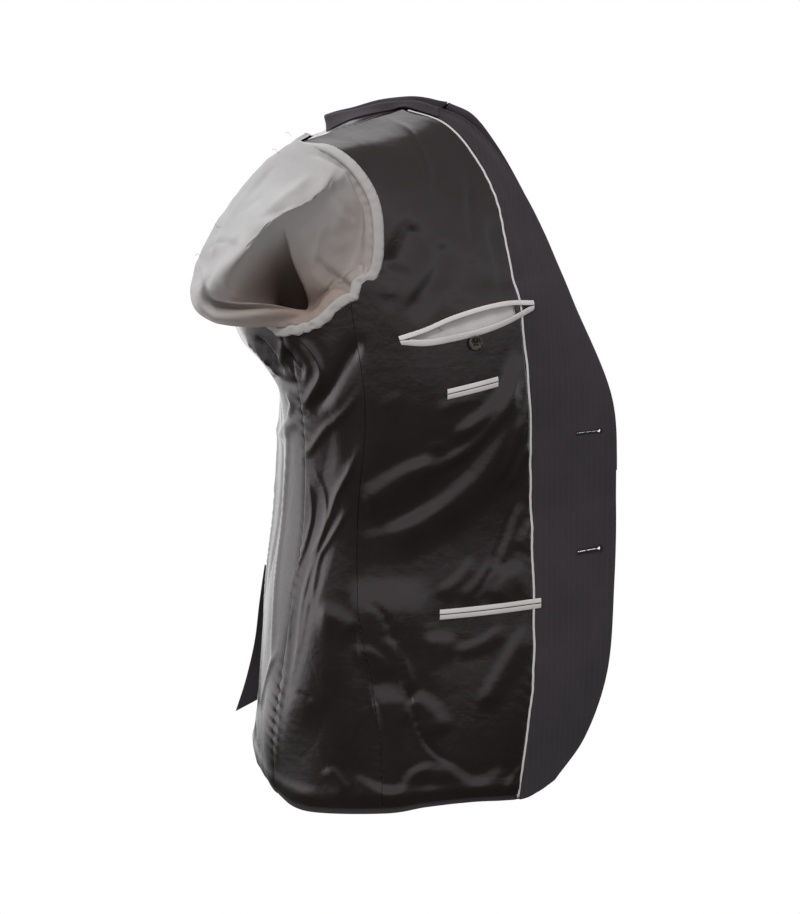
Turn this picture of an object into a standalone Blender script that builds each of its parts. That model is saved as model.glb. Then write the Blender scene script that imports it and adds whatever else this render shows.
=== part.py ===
# Suit jacket turned inside out, held in the hollow form it takes when worn.
# The body lining is outside and the wool shell is inside it.  The sleeves hang
# down inside the body, and the lining of each sleeve head puffs out through its
# armhole.  +X points to the open front edges, -Y to the side of the garment's
# left front (the one with the buttonholes), +Z up.  The origin is the middle of
# the neck at the height of the shoulder points.
import math
import bpy
import bmesh
from mathutils import Vector

# ---------------------------------------------------------------- sizes, metres
MM = 0.001
SEAM_GAP = 0.0004        # clear space between two pieces that are sewn together
LINING_T = 0.0010        # wall of every lining piece
WOOL_T = 0.0013          # wall of every wool piece
LAYER_GAP = 0.0008       # clear space between lining and wool
HEM_TURN = 0.0075        # wool showing below the lining at the hem
PIPING_W = 0.0026        # folded piping between lining and facing
BAND_W = 0.0095          # felled band round each armhole
COLLAR_T = 0.0016        # top collar and under collar taken together
LAPEL_FOLD = 0.0050      # radius of the soft turn at the roll line
POCKET_DEPTH = 0.0045    # how far the breast pocket bag lies behind the lining
BUTTON_R = 0.0075        # pocket button
FRONT_BUTTON_R = 0.0105  # the two front buttons

# The body of one half is a smooth skin through twelve guide lines, each given
# at thirteen levels from hem to neck and shoulder.  Columns: x, y, z in mm.
GUIDES = {
    "centre_back": [
        (-161, 0, -699), (-155, 0, -645), (-149, 0, -575), (-144, 0, -497), (-134, 0, -410),
        (-130, 0, -292), (-170, 0, -246), (-179, 0, -203), (-174, 0, -156), (-157, 0, -107),
        (-131, 0, -70), (-104, 0, -47), (-77, 0, -31)],
    "back_neck": [
        (-157, -40, -706), (-154, -41, -650), (-149, -42, -579), (-143, -43, -500), (-133, -44, -411),
        (-130, -45, -293), (-169, -45, -245), (-179, -42, -203), (-175, -41, -157), (-160, -41, -108),
        (-133, -43, -68), (-98, -47, -40), (-50, -52, -15.5)],
    "back_mid": [
        (-150, -76, -709), (-151, -79, -653), (-146, -82, -582), (-140, -84, -502), (-130, -85, -412),
        (-128, -92, -297), (-166, -90, -243), (-177, -85, -203), (-174, -82, -158), (-160, -81, -110),
        (-130, -81, -67), (-80, -81, -31), (5, -75, -3)],
    "back_blade": [
        (-142, -106, -713), (-146, -113, -656), (-140, -118, -586), (-132, -122, -505), (-121, -125, -414),
        (-121, -140, -302), (-155, -150, -236), (-170, -136, -200), (-171, -131, -160), (-163, -128, -115),
        (-143, -128, -75), (-104, -130, -41), (-49, -127.5, -18.5)],
    "side_back_seam": [
        (-130, -133, -720.5), (-133.5, -145, -658), (-125, -152, -590), (-113, -157, -510), (-100, -160, -416),
        (-101, -174, -308), (-124, -185, -222), (-150, -172, -209), (-166, -162, -172), (-165, -161, -128),
        (-152, -166, -88), (-131, -173, -55), (-103, -180, -34)],
    "side_mid": [
        (-98, -167, -731), (-92, -174, -662), (-79, -180, -594), (-79, -176, -513), (-72, -173, -418),
        (-70, -189, -305), (-88, -191, -213), (-92, -200, -180), (-96, -202, -150), (-98, -201, -112),
        (-100, -197, -78), (-102, -190, -50), (-103, -180, -34)],
    "side_front_seam": [
        (-17.5, -191, -727.5), (-20.5, -191, -660), (-28.5, -187, -593), (-42.5, -182, -515), (-43, -178, -418),
        (-35.5, -193, -303), (-50, -190, -186), (-30, -190, -163), (-25.5, -189, -130), (-30, -187, -93),
        (-48, -186, -62), (-73, -184, -42), (-103, -180, -34)],
    "front_third": [
        (28, -195, -719.5), (27, -195, -661), (25, -192, -592), (17, -187, -512), (17, -184, -417),
        (22, -198, -305), (8, -196, -200), (16, -190, -168), (18, -181, -132), (13, -170, -95),
        (0, -158, -63), (-25, -149, -37), (-67, -145, -23.7)],
    "front_mid": [
        (76, -187, -716), (80, -188, -660), (83, -184, -590), (79, -178, -508), (77, -174, -416),
        (79, -184, -305), (68, -182, -205), (69, -172, -170), (64, -160, -133), (55, -145, -95),
        (42, -129, -60), (16, -116, -30), (-31, -110, -13.3)],
    "piping": [
        (123.5, -170, -717.6), (130.5, -168, -661), (138.5, -164, -592), (139, -157, -504), (136, -151, -415),
        (133, -155, -305), (124.5, -152, -205), (116, -146, -172), (108.5, -134, -133), (98.5, -119, -92),
        (79.5, -102, -54), (47, -88, -17.8), (5, -75, -3)],
    "facing_mid": [
        (144.5, -160, -711.5), (164.5, -150, -656), (180, -145, -589), (184, -138, -500), (183, -131, -413),
        (178, -136, -303), (153, -133, -202), (140, -126, -166), (127.5, -116, -129), (113.5, -106, -90.5),
        (90.5, -95.5, -49.5), (64.5, -88, -21.5), (38.5, -81, -8)],
    "front_edge": [
        (162.5, -150, -701), (195.5, -132, -656.5), (218.5, -125, -587), (225.2, -119, -498), (226.5, -112, -413),
        (220, -117, -306), (180.5, -110, -202), (164, -104, -163), (147.5, -99, -127), (128, -94, -91),
        (100, -87, -49.5), (69, -82, -17), (40, -78.5, -3.5)],
}
ORDER = ["centre_back", "back_neck", "back_mid", "back_blade", "side_back_seam", "side_mid",
         "side_front_seam", "front_third", "front_mid", "piping", "facing_mid", "front_edge"]
TOP = 12                                   # level of the shoulder seam and the gorge
SCYE = 6                                   # level of the foot of the armhole
BACK_NECK, NECK, BACK_SEAM, SIDE_SEAM, PIPE, EDGE = 0, 2, 4, 6, 9, 11

# Where the facing meets the collar: the piping line as the facing sees it.
GORGE = [(60, -92, -28), (38.5, -85, -13.3)]

# The garment's right front hangs further back and more inward than the left.
# Columns: move back in x, move in towards the middle, mm, at each level.
RIGHT_FRONT = [(-12, 12), (-20, 25), (-30, 36), (-36, 43), (-37, 44), (-31, 38), (-9, 14),
               (-3, 5), (0, 1), (1, 0), (4, 0), (9, 0), (11, 0)]

# The right shoulder sits a little lower.  Drop in mm at each level, and the
# share of it that each guide takes.
RIGHT_DROP = [0, 0, 0, 0, 0, 0, 0, 1, 2, 4, 6, 8, 9]
DROP_SHARE = {"back_mid": 0.15, "back_blade": 0.6, "side_back_seam": 1.0, "side_mid": 1.0,
              "side_front_seam": 1.0, "front_third": 0.65, "front_mid": 0.3}

# Loops of the sleeve lining by clock hour, 12 at the shoulder point, 3 at the
# front.  Columns: x, y, z in mm.
RISE = [4.0, 2.0, 0.0, -1.0, -1.0, 0.0, 1.5, 3.0, 5.0, 5.0, 5.0, 5.0]   # height above the edge, mm, by hour
# Where the head lies tight in the armhole its crest is set from the edge instead.
# Columns: inwards from the edge, height above it, by hour, mm.  TIGHT is the share.
EDGE_CREST = [(8, 4, 0), (9, 4, 0), (8, 2, 0), (8, -3, 0), (9, -5, 0), (9, -5, 0), (8, -3, 0), (6, 4, 0),
              (6, 8, 0), (6, 8, 0), (6, 8, 0), (8, 6, 0)]
TIGHT = [(0.0, 1.0), (6.2, 1.0), (7.0, 0.0), (11.0, 0.0), (12.0, 1.0)]
CREST = [(-110, -197, -38), (-62, -190, -51), (-36, -184, -82), (-31, -180, -127), (-38, -180, -164),
         (-56, -182, -185), (-88, -184, -207), (-140, -196, -216), (-199, -164, -214), (-214.5, -160, -184),
         (-196, -182, -131), (-158, -188, -80)]
RIDGE = [(-86, -213, -84), (-68, -199, -68), (-50, -186, -92), (-46, -170, -131), (-54, -167, -162),
         (-68, -170, -182), (-92, -175, -203), (-134, -209, -195), (-180, -214, -194), (-182, -231, -172),
         (-155, -234, -144), (-120, -227, -112)]
LIP = [(-111, -203, -119), (-104, -192, -130), (-101, -184, -144), (-98, -179, -158), (-93, -174, -178),
       (-85, -164, -198), (-98, -164, -210), (-118, -176, -205), (-147, -187, -195), (-157, -204, -189),
       (-149, -214, -163), (-131, -212, -136)]
THROAT = [(-106, -122, -178), (-95, -124, -180), (-87, -130, -187), (-84, -138, -196), (-87, -146, -205),
          (-95, -152, -212), (-106, -154, -214), (-117, -152, -212), (-125, -146, -205), (-128, -138, -196),
          (-125, -130, -187), (-117, -124, -180)]
# The rest of the sleeve hangs as a flattened tube.
# Columns: centre x, y, z, half width along x, half width along y, mm.
TUBE = [(-80, -120, -260, 46, 30), (-40, -121, -335, 56, 31), (-30, -121, -420, 63, 30),
        (-22, -123, -520, 60, 29), (-16, -125, -600, 57, 28), (-12, -127, -662, 56, 28)]
SLEEVE_TURN = math.radians(-8.0)           # the flat of the tube follows the side wall

# Breast pocket on the left front lining: outline of the two welts together.
# Columns: x, z of the top edge, x, z of the bottom edge, mm.
BREAST = [(-1.5, -228.5, 1.5, -237.3), (25.5, -219.8, 27, -238.6), (51, -209.3, 54, -234.8),
          (81.8, -200.5, 82, -229), (110.7, -196.1, 109, -220.3), (136.8, -197, 137, -207.3)]
WELT_W = (5.0, 6.6)                        # upper and lower welt, mm
# Jetted pockets, near and far end of the slit.  Columns: x, z, mm.
PEN_POCKET = [(48.1, -288.3), (100.0, -277.7)]
TICKET_POCKET = [(40.9, -518.0), (146.2, -511.3)]
JET = 5.2                                  # height of one jet, mm
BUTTONS_AT = [(-333.5), (-459.5)]          # heights of the front buttons, mm


def clear_scene():
    for obj in list(bpy.data.objects):
        bpy.data.objects.remove(obj, do_unlink=True)


# ------------------------------------------------------------------ smooth curves
def catmull(p0, p1, p2, p3, t):
    a = p1 * 2.0
    b = p2 - p0
    c = p0 * 2.0 - p1 * 5.0 + p2 * 4.0 - p3
    d = p1 * 3.0 - p0 - p2 * 3.0 + p3
    return (a + b * t + c * (t * t) + d * (t * t * t)) * 0.5


def along(points, t):
    """Point on the smooth curve through points, t counted in whole points."""
    last = len(points) - 1
    i = min(max(int(math.floor(t)), 0), last - 1)
    p1 = points[i]
    p2 = points[i + 1]
    p0 = points[i - 1] if i > 0 else p1 * 2.0 - p2
    p3 = points[i + 2] if i + 2 <= last else p2 * 2.0 - p1
    return catmull(p0, p1, p2, p3, t - i)


def around(points, t):
    """Point on the closed smooth curve through points."""
    n = len(points)
    i = int(math.floor(t))
    return catmull(points[(i - 1) % n], points[i % n], points[(i + 1) % n], points[(i + 2) % n], t - i)


def table(rows):
    return [Vector((r[0], r[1], r[2])) * MM for r in rows]


# --------------------------------------------------------------- skin of one half
def half_guides(side, gorge):
    """Guide lines of one half; side -1 is the garment's left, +1 its right."""
    lines = []
    for name in ORDER:
        pts = table(GUIDES[name])
        if gorge and name == "piping":
            pts[-2] = Vector(GORGE[0]) * MM
            pts[-1] = Vector(GORGE[1]) * MM
        share = {"piping": 0.12, "facing_mid": 0.55, "front_edge": 1.0}.get(name, 0.0)
        if side > 0:
            for row, shift in enumerate(RIGHT_FRONT):
                drop = RIGHT_DROP[row] * DROP_SHARE.get(name, 0.0)
                pts[row] = pts[row] + Vector((shift[0] * share, shift[1] * share, -drop)) * MM
            pts = [Vector((p.x, -p.y, p.z)) for p in pts]
        lines.append(pts)
    return lines


SKIN = {(side, gorge): half_guides(side, gorge) for side in (-1, 1) for gorge in (False, True)}


def skin_point(side, gorge, u, v):
    """Point of the body skin at guide u and level v."""
    lines = SKIN[(side, gorge)]
    last = len(lines) - 1
    i = min(max(int(math.floor(u)), 0), last - 1)
    near = [along(lines[k], v) for k in range(max(i - 1, 0), min(i + 2, last) + 1)]
    if i == 0:
        mirror = near[1]
        near.insert(0, Vector((mirror.x, -mirror.y, mirror.z)))
    if i + 2 > last:
        near.append(near[-1] * 2.0 - near[-2])
    if gorge and i == PIPE:
        near[0] = near[0].lerp(near[1] * 2.0 - near[2], min(1.0, max(0.0, (v - 9.5) / 1.0)))
    return catmull(near[0], near[1], near[2], near[3], u - i)


def seam_twin(u):
    """Guide on the other side of the shoulder seam, or None off the seam."""
    if NECK <= u <= BACK_SEAM:
        return SIDE_SEAM + (BACK_SEAM - u) * (PIPE - SIDE_SEAM) / (BACK_SEAM - NECK)
    if SIDE_SEAM <= u <= PIPE:
        return BACK_SEAM - (u - SIDE_SEAM) * (BACK_SEAM - NECK) / (PIPE - SIDE_SEAM)
    return None


def raw_frame(side, u, v, gorge):
    """Point, unit vectors along u and v, and outward normal of the skin."""
    step = 0.004
    here = skin_point(side, gorge, u, v)
    across = skin_point(side, gorge, u + step, v) - skin_point(side, gorge, u - step, v)
    up = skin_point(side, gorge, u, v + step) - skin_point(side, gorge, u, v - step)
    if across.length < 1e-6:
        across = skin_point(side, gorge, u + step, v - 0.3) - skin_point(side, gorge, u - step, v - 0.3)
    normal = across.cross(up).normalized() * (-side)
    return here, across.normalized(), up.normalized(), normal


def skin(side, u, v, du=0.0, dv=0.0, gorge=False):
    """Point and outward normal; du and dv are extra moves in metres."""
    here, along_u, along_v, normal = raw_frame(side, u, v, gorge)
    twin = seam_twin(u)
    if v > TOP - 1e-6 and twin is not None and not gorge:
        share = (u - NECK) / (BACK_SEAM - NECK) if u <= BACK_SEAM else (PIPE - u) / (PIPE - SIDE_SEAM)
        neck = SKIN[(side, False)][NECK][TOP]
        tip = SKIN[(side, False)][BACK_SEAM][TOP]
        here = neck.lerp(tip, share)
        along_u = (tip - neck).normalized() * (1.0 if u <= BACK_SEAM else -1.0)
        normal = (normal + raw_frame(side, twin, v, gorge)[3]).normalized()
    return here + along_u * du + along_v * dv, normal


def find_level(side, x, z, guess_u, guess_v, gorge=False):
    """Guide and level of the skin point that lies at x and z (metres)."""
    u, v = guess_u, guess_v
    for _ in range(30):
        p = skin_point(side, gorge, u, v)
        pu = (skin_point(side, gorge, u + 0.01, v) - p) / 0.01
        pv = (skin_point(side, gorge, u, v + 0.01) - p) / 0.01
        ex = x - p.x
        ez = z - p.z
        det = pu.x * pv.z - pv.x * pu.z
        u += max(-0.5, min(0.5, (ex * pv.z - pv.x * ez) / det))
        v += max(-0.5, min(0.5, (pu.x * ez - ex * pu.z) / det))
    return u, v


# -------------------------------------------------------------- meshes and solids
def material(name, colour, rough, sheen=0.0):
    mat = bpy.data.materials.new(name)
    mat.use_nodes = True
    node = mat.node_tree.nodes["Principled BSDF"]
    node.inputs["Base Color"].default_value = (*colour, 1.0)
    node.inputs["Roughness"].default_value = rough
    node.inputs["Sheen Weight"].default_value = sheen
    mat.diffuse_color = (*colour, 1.0)
    return mat


def lining_look(name):
    return material(name, (0.022, 0.019, 0.020), 0.32)


def wool_look(name):
    return material(name, (0.036, 0.031, 0.035), 0.85, 0.3)


def grey_look(name):
    return material(name, (0.38, 0.36, 0.36), 0.40)


def solid(name, verts, faces, mat):
    mesh = bpy.data.meshes.new(name)
    mesh.from_pydata([tuple(v) for v in verts], [], faces)
    bm = bmesh.new()
    bm.from_mesh(mesh)
    bmesh.ops.recalc_face_normals(bm, faces=bm.faces)
    bm.to_mesh(mesh)
    bm.free()
    mesh.materials.append(mat)
    obj = bpy.data.objects.new(name, mesh)
    bpy.context.scene.collection.objects.link(obj)
    return obj


def wall(name, grid, outer, inner, mat, closed=False, holes=()):
    """Closed wall between two offsets of a grid of (point, normal) pairs.

    grid[i][j] runs along the piece in i and up it in j.  outer and inner are
    offsets in metres, numbers or functions of (i, j).  holes lists cells left out.
    """
    ni, nj = len(grid), len(grid[0])
    verts, faces = [], []
    for offset in (outer, inner):
        for i in range(ni):
            for j in range(nj):
                point, normal = grid[i][j]
                amount = offset(i, j) if callable(offset) else offset
                verts.append(point + normal * amount)
    count = ni * nj
    use = {}
    for i in range(ni if closed else ni - 1):
        k = (i + 1) % ni
        for j in range(nj - 1):
            if (i, j) in holes:
                continue
            ring = (i * nj + j, k * nj + j, k * nj + j + 1, i * nj + j + 1)
            for tri in ((ring[0], ring[1], ring[2]), (ring[0], ring[2], ring[3])):
                faces.append(tri)
                faces.append(tuple(a + count for a in reversed(tri)))
            for a, b in zip(ring, ring[1:] + ring[:1]):
                use[(min(a, b), max(a, b))] = use.get((min(a, b), max(a, b)), []) + [(a, b)]
    for pairs in use.values():
        if len(pairs) == 1:
            a, b = pairs[0]
            faces.append((b, a, a + count))
            faces.append((b, a + count, b + count))
    used = sorted({index for face in faces for index in face})
    renumber = {index: k for k, index in enumerate(used)}
    return solid(name, [verts[index] for index in used],
                 [tuple(renumber[index] for index in face) for face in faces], mat)


def spaced(start, end, count):
    return [start + (end - start) * k / (count - 1) for k in range(count)]


def panel(name, side, us, outer, inner, mat, first=0, last=99, high=SEAM_GAP / 2,
          left=SEAM_GAP / 2, right=SEAM_GAP / 2, gorge_from=99.0, holes=()):
    """One cut piece of the body, rows first to last, drawn back at each seam."""
    grid = []
    for i, u in enumerate(us):
        du = left if i == 0 else (-right if i == len(us) - 1 else 0.0)
        column = []
        rows = rows_at(side, u)[first:last + 1]
        for j, (v, dv) in enumerate(rows):
            if j == len(rows) - 1:
                dv = -(high(u) if callable(high) else high)
            column.append(skin(side, u, v, du, dv, u >= gorge_from))
        grid.append(column)
    return wall(name, grid, outer, inner, mat, holes=holes)


def side_word(side):
    return "left" if side < 0 else "right"


# ------------------------------------------------- levels shared by all the layers
def mouth_levels(rows):
    """Guide and level of the two edges of the breast pocket mouth."""
    top, bottom = [], []
    for row in rows:
        x0, z0, x1, z1 = [value * MM for value in row]
        top.append(find_level(-1, x0, z0 - 0.0030, 8.0, 6.0))
        bottom.append(find_level(-1, x1, z1 + 0.0035, 8.0, 5.6))
    return top, bottom


def level_at(pairs, u):
    """Value at u on straight lines between (u, value) pairs."""
    pairs = sorted(pairs)
    if u <= pairs[0][0]:
        return pairs[0][1]
    for a, b in zip(pairs, pairs[1:]):
        if u <= b[0]:
            return a[1] + (b[1] - a[1]) * (u - a[0]) / (b[0] - a[0])
    return pairs[-1][1]


MOUTH_TOP, MOUTH_BOTTOM = mouth_levels(BREAST)
MOUTH_FROM, MOUTH_TO = 6.95, 8.86
BELOW = [0, 0.6, 1.3, 2, 3, 4, 4.9]
ABOVE = [7, 8, 9, 10, 10.6, 11.2, 12]
FOOT = 9                                   # row of the armhole foot
LOW_PLAIN, HIGH_PLAIN = 5.5, 6.0


def rows_at(side, u):
    """Rows of every layer at guide u as (level, move up in metres).

    The second row is the lower edge of the lining.  On the left front the rows
    pass round the pocket mouth.
    """
    low, high = LOW_PLAIN, HIGH_PLAIN
    if side < 0 and u > SIDE_SEAM:
        at_low = level_at(MOUTH_BOTTOM, u)
        at_high = level_at(MOUTH_TOP, u)
        share = level_at([(SIDE_SEAM, 0.0), (MOUTH_FROM - 0.02, 1.0), (PIPE, 1.0), (EDGE, 0.0)], u)
        low = low + (at_low - low) * share
        high = high + (max(at_high, at_low + 0.04) - high) * share
    rows = [(v, 0.0) for v in BELOW + [low, high] + ABOVE]
    return rows[:1] + [(0, HEM_TURN)] + rows[1:]


BACK_US = [0, 0.8, 1.4, 2, 2.8, 3.45, BACK_SEAM]
SIDE_US = [BACK_SEAM, 4.55, 5.25, SIDE_SEAM]
FRONT_US = [SIDE_SEAM, 6.4, MOUTH_FROM, 7.45, 7.95, 8.45, MOUTH_TO, PIPE]
FACING_US = [PIPE, 9.7, 10.35, EDGE]


# -------------------------------------------------------------------- body lining
def build_body_lining(side):
    word = side_word(side)
    mat = lining_look("lining_" + word)
    panel("back_lining_" + word, side, BACK_US, 0.0, -LINING_T, mat, first=1)
    panel("side_lining_" + word, side, SIDE_US, 0.0, -LINING_T, mat, first=1, last=FOOT)
    holes = {(i, 7) for i in (2, 3, 4, 5)} if side < 0 else ()
    panel("front_lining_" + word, side, FRONT_US, 0.0, -LINING_T, mat, first=1,
          right=PIPING_W / 2 + SEAM_GAP, holes=holes)


# ------------------------------------------------------------- piping and facing
def build_piping(side):
    word = side_word(side)
    rows = rows_at(side, PIPE)
    rows = rows[:-1] + [(11.6, 0.0), (11.9, 0.0)]
    grid = []
    for du in (-PIPING_W / 2, PIPING_W / 2):
        grid.append([skin(side, PIPE, v, du, dv) for v, dv in rows])
    wall("piping_" + word, grid, 0.0007, -LINING_T, grey_look("piping_" + word))


# Width of the turned-in lapel and how far its rows slant down, by level.
LAPEL = [(4.9, 2.5), (5.5, 13), (6.0, 24), (7, 44), (8, 60), (9, 73), (10, 82), (10.6, 80), (11.2, 66), (12, 50)]
LAPEL_SLANT = [(9, 0.0), (10, 0.15), (11, 0.6), (12, 1.2)]
BREAK_ROW = 7


def walk_back(side, v, distance):
    """Guide of the skin point at level v, the given distance back from the edge."""
    u = float(EDGE)
    here = skin_point(side, True, u, v)
    while distance > 0 and u > 6.2:
        there = skin_point(side, True, u - 0.02, v)
        length = (there - here).length
        if length >= distance:
            return u - 0.02 * distance / length
        distance -= length
        here = there
        u -= 0.02
    return u


def lapel_columns(side, rows):
    """Columns that turn in round the roll line and lie inside the front."""
    depth = LAYER_GAP + 2 * WOOL_T + LAPEL_FOLD
    columns = [[] for _ in range(6)]
    for v, dv in rows:
        edge, _, up, normal = raw_frame(side, EDGE, v, True)
        edge = edge + up * dv
        ahead = (edge - skin_point(side, True, EDGE - 0.05, v)).normalized()
        width = level_at(LAPEL, v) * MM
        slant = level_at(LAPEL_SLANT, v)
        radius = depth / 2
        for k, angle in enumerate((35, 90, 145)):
            a = math.radians(angle)
            out = normal * math.cos(a) + ahead * math.sin(a)
            columns[k].append((edge - normal * radius + out * radius, out))
        for k, t in enumerate((0.3, 0.65, 1.0)):
            level = v - slant * t
            u = walk_back(side, level, max(width * t, 0.0012 * (k + 1)))
            point, out = skin(side, u, level, gorge=True)
            columns[3 + k].append((point - out * depth, -out))
    return columns


def build_facing(side):
    """Facing and lapel are one piece: it turns in along the roll line."""
    word = side_word(side)
    grid = []
    for u in FACING_US:
        du = PIPING_W / 2 + SEAM_GAP if u == PIPE else 0.0
        rows = rows_at(side, u)[:-1] + [(TOP, -SEAM_GAP / 2)]
        grid.append([skin(side, u, v, du, dv, True) for v, dv in rows])
    grid += lapel_columns(side, rows_at(side, EDGE))
    cells = {(i, j) for i in range(3, len(grid) - 1) for j in range(BREAK_ROW)}
    wall("facing_" + word, grid, 0.0, -WOOL_T, wool_look("facing_" + word), holes=cells)


# --------------------------------------------------------------------- wool shell
def shell_offset(side, u, v):
    """Outer face of the shell; it leaves room for the facing and the pocket bag."""
    base = -(LINING_T + LAYER_GAP)
    if u > 8.6:
        base = -(WOOL_T + 0.0010)
    if side > 0:
        return base
    a = max(0.0, 1.0 - ((u - 7.9) / 1.35) ** 2)
    b = max(0.0, 1.0 - ((v - 5.8) / 1.6) ** 2)
    return base - 0.0062 * min(1.0, 1.8 * a) * min(1.0, 1.8 * b)


def build_shell(side):
    word = side_word(side)
    mat = wool_look("shell_" + word)
    top = -(LINING_T + LAYER_GAP)
    panel("back_shell_" + word, side, BACK_US, top, top - WOOL_T, mat)
    panel("side_shell_" + word, side, SIDE_US, top, top - WOOL_T, mat, last=FOOT)
    us = FRONT_US[:-1] + FACING_US

    def outer(i, j):
        return shell_offset(side, us[i], rows_at(side, us[i])[j][0])

    panel("front_shell_" + word, side, us, outer, lambda i, j: outer(i, j) - WOOL_T, mat,
          right=0.0030, gorge_from=PIPE, holes={(i, 15) for i in range(5, len(us) - 1)})


# ------------------------------------------------------------------------- collar
# Rays of the collar: guide and level on the neck seam, then guide and level at
# the free edge of the leaf, which lies on the inner face of the shell.
COLLAR_RAYS = [(0.0, 12.0, 0.0, 10.35), (0.55, 12.0, 0.6, 10.5), (1.1, 12.0, 1.35, 10.65),
               (1.6, 12.0, 2.1, 10.9), (2.0, 11.99, 2.7, 11.3), (9.0, 11.62, 8.1, 11.85),
               (9.0, 11.27, 8.25, 11.65)]
# Fold of the collar.  Columns: x, y, z, then the forward move of the right end.
FOLD_LINE = [(-79, 0, -13.5, 0), (-66, -19, -10.5, 0), (-48, -36.5, -6, 0), (-20, -56, 0.5, 0),
             (6, -67.5, 3.8, 1), (24, -73.5, 1.5, 5), (37.0, -76.8, -2.0, 10)]


def collar_rays(side):
    depth = LINING_T + LAYER_GAP + WOOL_T + 0.0070
    rays = []
    for ray, fold in zip(COLLAR_RAYS, FOLD_LINE):
        u0, v0, u1, v1 = ray
        top = Vector((fold[0] + (fold[3] if side > 0 else 0), -side * fold[1], fold[2])) * MM
        foot, out = skin(side, u0, v0)
        away = foot + (top - foot).normalized() * (0.0009 if u0 < NECK else 0.0022)
        line = [away, away.lerp(top, 0.5), top]
        inward = Vector((-0.020 - foot.x, -foot.y, 0.0)).normalized()
        line.append(foot + inward * 0.0100 - out * 0.0030)
        for t in (0.4, 0.7, 1.0):
            point, normal = skin(side, u0 + (u1 - u0) * t, v0 + (v1 - v0) * t)
            line.append(point - normal * depth)
        rays.append(line)
    return rays


def build_collar():
    lines = []
    for side in (1, -1):
        rays = collar_rays(side)
        half = []
        for s in spaced(0.0, len(rays) - 1.0, 9):
            half.append([along([ray[j] for ray in rays], s) for j in range(len(rays[0]))])
        lines = list(reversed(half[1:])) if side > 0 else lines + half
    grid = []
    for i, line in enumerate(lines):
        after = lines[min(i + 1, len(lines) - 1)]
        before = lines[max(i - 1, 0)]
        column = []
        for t in (0.0, 1.0, 1.75, 2.1, 2.55, 3.2, 4.5, 6.0):
            point = along(line, t)
            up = along(line, min(t + 0.05, 6.0)) - along(line, max(t - 0.05, 0.0))
            across = along(after, t) - along(before, t)
            column.append((point, up.cross(across).normalized()))
        grid.append(column)
    wall("collar", grid, 0.0, -COLLAR_T, wool_look("collar"))


# ------------------------------------------------------------------------ sleeves
def ring_point(side, h):
    """Armhole edge at clock hour h, with its skin normal."""
    h = h % 12.0
    if h <= 5.0:
        return skin(side, SIDE_SEAM, TOP - h * 1.2)
    if h <= 7.0:
        return skin(side, SIDE_SEAM - (h - 5.0), SCYE)
    return skin(side, BACK_SEAM, SCYE + (h - 7.0) * 1.2)


def ring_frame(side, h):
    """Armhole edge point, skin normal and the direction away from the hole."""
    point, normal = ring_point(side, h)
    tangent = (ring_point(side, h + 0.05)[0] - ring_point(side, h - 0.05)[0]).normalized()
    away = tangent.cross(normal).normalized()
    middle = Vector((-0.095, side * 0.18, -0.13))
    if away.dot(point - middle) < 0:
        away = -away
    return point, normal, away


def head_drop(side, hour):
    """The right sleeve head follows its lower shoulder."""
    return 4.5 * (1.0 + math.cos(math.radians(30.0 * hour))) if side > 0 else 0.0


def sleeve_loops(side):
    loops = []
    for rows in (CREST, RIDGE, LIP, THROAT):
        loops.append([Vector((r[0], -side * r[1], r[2] - head_drop(side, hour))) * MM
                      for hour, r in enumerate(rows)])
    for cx, cy, cz, wx, wy in TUBE:
        ring = []
        for hour in range(12):
            a = math.radians(90.0 - 30.0 * hour)
            x = wx * math.cos(a)
            y = wy * math.sin(a)
            px = x * math.cos(SLEEVE_TURN) - y * math.sin(SLEEVE_TURN)
            py = x * math.sin(SLEEVE_TURN) + y * math.cos(SLEEVE_TURN)
            ring.append(Vector((cx + px, -side * (cy + py), cz)) * MM)
        loops.append(ring)
    return loops


LOOPS = {side: sleeve_loops(side) for side in (-1, 1)}


def sleeve_point(side, h, w):
    """Sleeve skin at clock hour h and station w, 0 at the armhole."""
    point, normal, away = ring_frame(side, h)
    start = point - away * 0.0024
    rise = start - away * 0.0006 + normal * (around(RISE, h) * MM)
    loops = [around(loop, h) for loop in LOOPS[side]]
    tight = level_at(TIGHT, h % 12.0)
    inset, height = around(table(EDGE_CREST), h)[:2]
    loops[0] = loops[0].lerp(point - away * inset + normal * height, tight)
    return along([start, rise] + loops, w)


STATIONS = [0.0, 1.0, 1.5, 2.0, 2.5, 3.0, 3.5, 4.0, 4.5, 5.2, 6.1, 8.2, 11.0]
WOOL_FROM = 8                              # station row where the wool begins
HOURS = [0, 0.6667, 1.1667, 1.6667, 2.5, 3.3333, 4.1667, 5, 5.75, 6.45, 7, 7.8333, 8.6667, 9.5,
         10.3333, 10.8333, 11.3333]        # the corners of the panels round the armhole


def grid_normals(points, side):
    """Pairs of point and normal for a closed grid; the normal faces every cell around."""
    ni, nj = len(points), len(points[0])
    cells = []
    for i in range(ni):
        near = points[(i + 1) % ni]
        cells.append([(near[j + 1] - points[i][j]).cross(points[i][j + 1] - near[j]).normalized()
                      for j in range(nj - 1)])
    grid = []
    for i in range(ni):
        column = []
        for j in range(nj):
            around_it = [cells[k][m] for k in (i - 1, i) for m in (j - 1, j) if 0 <= m < nj - 1]
            normal = sum(around_it, Vector()).normalized()
            for _ in range(14):
                worst = min(around_it, key=normal.dot)
                normal = (normal + worst * 0.15).normalized()
            column.append((points[i][j], normal * side))
        grid.append(column)
    return grid


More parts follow.
